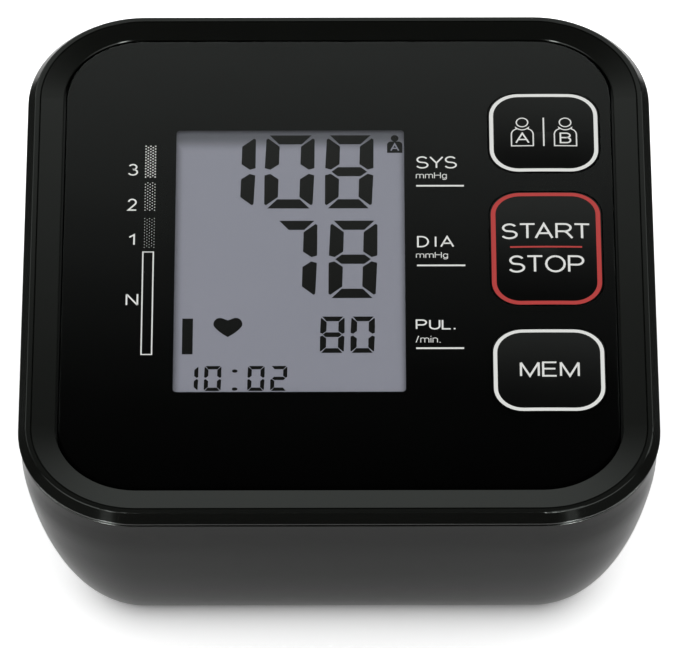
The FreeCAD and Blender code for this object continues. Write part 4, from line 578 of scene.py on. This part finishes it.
def reading_legends():
    """The names and units of the three readings, each over a rule."""
    printed("systolic_legend", lettering("SYS", 15.59, 23.96, 23.79, 27.22, 0.34)
            + lettering("mmHg", 15.51, 20.94, 21.74, 22.97, 0.16) + [bar(15.55, 19.14, 25.14, 19.56)], white_ink)
    printed("diastolic_legend", lettering("DIA", 15.62, 3.09, 23.03, 6.05, 0.34)
            + lettering("mmHg", 15.38, -0.06, 21.76, 1.90, 0.16) + [bar(15.56, -1.87, 25.18, -1.45)], white_ink)
    printed("pulse_legend", lettering("PUL.", 15.2, -18.33, 23.23, -15.71, 0.34)
            + lettering("/min.", 15.15, -21.75, 20.19, -19.90, 0.16) + [bar(15.23, -23.35, 24.71, -22.93)], white_ink)


pressure_scale()
reading_legends()


# ---------------------------------------------------------------- legends on the keys

def person(left, right, letter):
    """A person's outline with a letter on the chest."""
    x, foot, shoulder, head = (left + right) / 2, 29.8, 32.85, 36.05
    body = [(left + 0.12, foot)]
    body += arc(left + 1.5, shoulder, 1.38, 1.5, 180, 105, 5)
    body += arc(x, head, 1.75, 2.0, 222, 318, 10)
    body += arc(right - 1.5, shoulder, 1.38, 1.5, 75, 0, 5)
    body += [(right - 0.12, foot)]
    wide = 2.9 if letter == "A" else 2.35
    return [ribbon(arc(x, head, (right - left) * 0.25, 1.17, 0, 345, 23), 0.25, closed=True),
            ribbon(body, 0.25, closed=True), *lettering(letter, x - wide / 2, 30.45, x + wide / 2, 33.3, 0.33)]


def on_key(key, name, shapes, colour):
    """Print on a key cap, following its crown."""
    printed(name, shapes, colour, key + "_body", surface_of(key))


def key_legends():
    """Rings, words and signs on the three key caps."""
    line = [(KEY_X, 29.7 + 0.95 * i) for i in range(9)]
    on_key("user_key", "user_key_ring", [ribbon(rounded_path(KEY_X, 33.45, 21.1, 20.02, 5.46), 0.8, True)], white_ink)
    on_key("user_key", "user_key_signs",
           person(34.76, 39.40, "A") + person(43.44, 48.13, "B") + [ribbon(line, 0.3)], white_ink)
    rule = [(34.19 + 14.37 * i / 8, 2.94) for i in range(9)]
    on_key("start_stop_key", "start_stop_ring",
           [ribbon(rounded_path(KEY_X, 2.85, 20.98, 28.4, 5.3, 12), 0.92, True)], red_ink)
    on_key("start_stop_key", "start_stop_words",
           lettering("START", 32.54, 5.02, 50.32, 9.21, 0.46) + lettering("STOP", 33.87, -3.72, 48.91, 0.71, 0.46),
           white_ink)
    on_key("start_stop_key", "start_stop_rule", [ribbon(rule, 0.42)], red_ink)
    on_key("memory_key", "memory_key_ring",
           [ribbon(rounded_path(KEY_X, -28.85, 21.12, 20.04, 5.47), 0.78, True)], white_ink)
    on_key("memory_key", "memory_key_word", lettering("MEM", 35.63, -30.72, 47.43, -26.86, 0.42), white_ink)


key_legends()


# ---------------------------------------------------------------- the display's reading

SEGMENTS = {"0": "abcdef", "1": "bc", "2": "abged", "7": "abc", "8": "abcdefg"}


def digit(figure, left, right, bottom, top, upright, level, lean=0.023):
    """One seven-bar figure that fills a rectangle, leaning a little; upright and level are its bars' widths."""
    width, tall = right - left, top - bottom
    cut, middle = upright * 0.28, tall * 0.5
    side = [(0.05 * upright, tall - 0.4 * upright), (0.18 * upright, tall - 0.3 * upright),
            (upright, tall - level - cut * 0.75), (upright, middle + 0.5 * level + cut),
            (0.4 * upright, middle + 0.7 * cut), (0, middle + 0.4 * level)]
    ends, inner = (0.27 * upright, width - 0.27 * upright), (width - 0.96 * upright, 0.96 * upright)
    bars = {
        "a": [(ends[0], tall), (ends[1], tall), (inner[0], tall - level), (inner[1], tall - level)],
        "f": side,
        "b": [(width - x, y) for x, y in side],
        "e": [(x, tall - y) for x, y in side],
        "c": [(width - x, tall - y) for x, y in side],
        "d": [(ends[0], 0), (ends[1], 0), (inner[0], level), (inner[1], level)],
        "g": [(0.45 * upright, middle), (0.9 * upright, middle + 0.5 * level),
              (width - 0.9 * upright, middle + 0.5 * level), (width - 0.45 * upright, middle),
              (width - 0.9 * upright, middle - 0.5 * level), (0.9 * upright, middle - 0.5 * level)],
    }
    return [filled([(left + x + lean * (y - tall / 2), bottom + y) for x, y in bars[key]])
            for key in SEGMENTS[figure]]


def row_of(figures, spans, bottom, top, widths):
    """A row of figures, each across its own span."""
    return [bar_shape for figure, span in zip(figures, spans)
            for bar_shape in digit(figure, *span, bottom, top, *widths)]


def heart(left, bottom, right, top):
    """A filled heart, from its tip up one flank, over both lobes and down the other."""
    middle, wide, tall = (left + right) / 2, (right - left) / 2, top - bottom
    flank = [(0.35, 0.15), (0.65, 0.31), (0.86, 0.46)]
    lobe = (0.45 * wide, 0.33 * tall)
    outline = [(middle, bottom)] + [(middle + x * wide, bottom + y * tall) for x, y in flank]
    outline += arc(middle + wide - lobe[0], top - lobe[1], *lobe, -15, 115, 12)
    outline += [(middle, top - 0.13 * tall)]
    outline += arc(middle - wide + lobe[0], top - lobe[1], *lobe, 65, 195, 12)
    outline += [(middle - x * wide, bottom + y * tall) for x, y in flank[::-1]]
    centre = (middle, bottom + tall * 0.5)
    points = [centre] + outline
    return points, [[0, i, i % len(outline) + 1] for i in range(1, len(outline) + 1)]


def reading():
    """What the display shows: 108 over 78, a pulse of 80, the time, the level bar and the heart sign."""
    shapes = row_of("108", ((-26.0, -16.8), (-14.94, -4.92), (-2.74, 6.98)), 15.52, 35.05, LARGE_BARS)
    shapes += row_of("78", ((-12.95, -4.37), (-2.02, 7.67)), -8.06, 12.24, LARGE_BARS)
    printed("pressure_reading", shapes, crystal_ink, lift=CRYSTAL_H)
    shapes = row_of("80", ((-3.76, 1.09), (2.30, 7.10)), -22.26, -12.88, PULSE_BARS)
    shapes += [heart(-24.91, -18.13, -19.18, -13.18), bar(-31.1, -22.57, -28.98, -13.34)]
    printed("pulse_reading", shapes, crystal_ink, lift=CRYSTAL_H)
    spans = ((-31.1, -27.80), (-26.65, -23.26), (-18.09, -14.72), (-13.57, -10.24))
    shapes = row_of("1002", spans, -31.98, -25.60, TIME_BARS)
    shapes += [filled(arc(-20.6, y, 0.56, 0.42, 0, 342, 19)) for y in (-26.9, -31.5)]
    printed("time_reading", shapes, crystal_ink, lift=CRYSTAL_H)
    left, x, right, foot, shoulder = 9.77, 11.32, 12.87, 30.31, 32.45
    body = [(right, foot)] + arc(right - 0.8, shoulder, 0.8, 0.9, 0, 90, 6)
    body += arc(left + 0.8, shoulder, 0.8, 0.9, 90, 180, 6) + [(left, foot)]
    head = arc(x, 34.2, 0.78, 0.88, 0, 342, 19)
    printed("user_reading", [filled(head), filled(body)], crystal_ink, lift=CRYSTAL_H)
    printed("user_reading_letter", lettering("A", 10.4, 30.75, 12.25, 32.85, 0.3), clear_ink, lift=CRYSTAL_H + 0.01)


reading()


# ---------------------------------------------------------------- table, light and camera

def table_top():
    """The pale table: a smooth white sheet with a white glow, standing for light from below, that keeps the monitor's
    soft shadow.

    Only the camera sees the glow. It is gone under the monitor, where the sheet is covered, and comes back over a few
    millimetres round it, so the sheet is painted darker round the base: painted shadow on top of the shadow that the
    light casts.
    """
    material, tree, surface = blank("white_table_sheet")
    grain = add(tree, "TexNoise", {"Vector": place(tree), "Scale": 0.8, "Detail": 3.0})["Fac"]
    sheet = add(tree, "BsdfPrincipled", {
        "Base Color": mixed(tree, grain, linear("#FBFBFB"), linear("#FEFEFE")), "Roughness": 0.7})["BSDF"]
    past = add(tree, "VectorMath", {0: place(tree), 1: FOOT_MIDDLE}, operation="SUBTRACT")["Vector"]
    past = add(tree, "VectorMath", {0: past}, operation="ABSOLUTE")["Vector"]
    past = add(tree, "VectorMath", {0: past, 1: FOOT_HALF}, operation="SUBTRACT")["Vector"]
    past = add(tree, "VectorMath", {0: past, 1: (0, 0, 0)}, operation="MAXIMUM")["Vector"]
    away = add(tree, "VectorMath", {0: past}, operation="LENGTH")["Value"]
    away = add(tree, "Math", {0: add(tree, "Math", {0: away, 1: FOOT_CORNER}, operation="SUBTRACT")[0], 1: 0.0},
               operation="MAXIMUM")[0]
    # the glow comes back only away from the footprint: painted shadow round the base
    painted_shadow_fade = add(tree, "Math", {0: math.e, 1: add(tree, "Math", {0: away, 1: -1 / PAINTED_SHADOW_REACH}, operation="MULTIPLY")[0]},
               operation="POWER")[0]
    seen = add(tree, "Math", {0: add(tree, "LightPath")["Is Camera Ray"], 1: GLOW}, operation="MULTIPLY")[0]
    strength = add(tree, "Math", {0: seen, 1: add(tree, "Math", {0: 1.0, 1: painted_shadow_fade}, operation="SUBTRACT")[0]},
                   operation="MULTIPLY")[0]
    glow = add(tree, "Emission", {"Color": (1, 1, 1, 1), "Strength": strength})["Emission"]
    tree.links.new(add(tree, "AddShader", {0: sheet, 1: glow})[0], surface)
    mesh = bpy.data.meshes.new("table_top")
    side = [TABLE_REACH * (i / 5 - 1) for i in range(11)]
    faces = [[r * 11 + c, r * 11 + c + 1, r * 11 + c + 12, r * 11 + c + 11] for r in range(10) for c in range(10)]
    mesh.from_pydata([(x, y, 0.0) for y in side for x in side], [], faces)
    mesh.materials.append(material)
    table = bpy.data.objects.new("table_top", mesh)
    bpy.context.scene.collection.objects.link(table)


def by_height(tree, up, levels, cast=(1.0, 1.0, 1.0)):
    """Light that depends on the height above the horizon, from pairs of an angle in degrees and a level."""
    ramp = add(tree, "ValToRGB", {"Fac": up})
    stops = ramp["Color"].node.color_ramp
    for i, (angle, level) in enumerate(levels):
        stop = stops.elements[i] if i < 2 else stops.elements.new(0.99)
        stop.position = 0.5 + 0.5 * math.sin(math.radians(angle))
        stop.color = [level * c for c in cast] + [1]
    return ramp["Color"]


def studio():
    """A white tent of light round the table.

    What gloss mirrors of it: a screen behind that fades to a dark opening overhead, softer walls at the
    sides with a bright upright gap towards each front corner, and a dark slot for the camera.
    """
    world = bpy.data.worlds.new("light_tent")
    bpy.context.scene.world = world
    world.use_nodes = True
    tree = world.node_tree
    tree.nodes.clear()
    toward = add(tree, "TexCoord")["Generated"]
    axes = add(tree, "SeparateXYZ", {"Vector": toward})
    up = add(tree, "Math", {0: axes["Z"], 1: 0.5, 2: 0.5}, operation="MULTIPLY_ADD")[0]
    wave = add(tree, "TexNoise", {"Vector": toward, "Scale": 3.0, "Detail": 1.0})["Fac"]
    uneven = add(tree, "Math", {0: wave, 1: CLOTH_WAVE, 2: up}, operation="MULTIPLY_ADD")[0]
    behind = by_height(tree, uneven, BEHIND, MIRRORED_CAST)
    before = by_height(tree, uneven, BEFORE, MIRRORED_CAST)
    ahead = add(tree, "Math", {0: axes["Y"], 1: -1.0}, operation="MULTIPLY")[0]
    aside = add(tree, "Math", {0: axes["X"]}, operation="ABSOLUTE")[0]
    aside = add(tree, "Math", {0: aside, 1: ahead}, operation="DIVIDE")[0]
    gap = add(tree, "Math", {0: aside, 1: GAP[0], 2: GAP[1]}, operation="COMPARE")[0]
    before = add(tree, "VectorMath", {0: before, "Scale": between(tree, gap, 1.0, GAP[2])}, operation="SCALE")["Vector"]
    slot = add(tree, "MapRange", {"Value": aside, "From Min": SLOT[0], "From Max": SLOT[1]})["Result"]
    before = mixed(tree, slot, (SLOT[2], SLOT[2], SLOT[2], 1), before)
    side = add(tree, "MapRange", {"Value": ahead, "From Min": TURN[0], "From Max": TURN[1]})["Result"]
    mirrored = mixed(tree, side, behind, before)
    path = add(tree, "LightPath")
    lit = mixed(tree, path["Is Glossy Ray"], by_height(tree, up, SOFT), mirrored)
    clear = add(tree, "Math", {0: path["Is Camera Ray"], 1: path["Is Transmission Ray"]}, operation="MAXIMUM")[0]
    background = add(tree, "Background", {"Color": mixed(tree, clear, lit, (1, 1, 1, 1)),
                                          "Strength": between(tree, clear, SOFT_STRENGTH, 1.0)})
    output = tree.nodes.new("ShaderNodeOutputWorld")
    tree.links.new(background["Background"], output.inputs["Surface"])


def camera():
    """The camera stands 43 degrees above the table, far back, and looks along the monitor's middle."""
    look_down = math.radians(43.0)
    roll = math.radians(-0.10)
    far = 1584.2
    target = on_panel(0.2, -16.85, 0)
    forward = Vector((0, math.cos(look_down), -math.sin(look_down)))
    data = bpy.data.cameras.new("camera")
    data.sensor_width = 36.0
    data.lens = 423.53
    data.clip_start = 0.05
    data.clip_end = 50.0
    item = bpy.data.objects.new("camera", data)
    aim = forward.to_track_quat("-Z", "Y").to_matrix().to_4x4() @ Matrix.Rotation(roll, 4, "Z")
    item.matrix_world = Matrix.Translation(target - forward * far * MM) @ aim
    bpy.context.scene.collection.objects.link(item)
    bpy.context.scene.camera = item


table_top()
studio()
camera()
bpy.context.scene.view_settings.view_transform = "Standard"
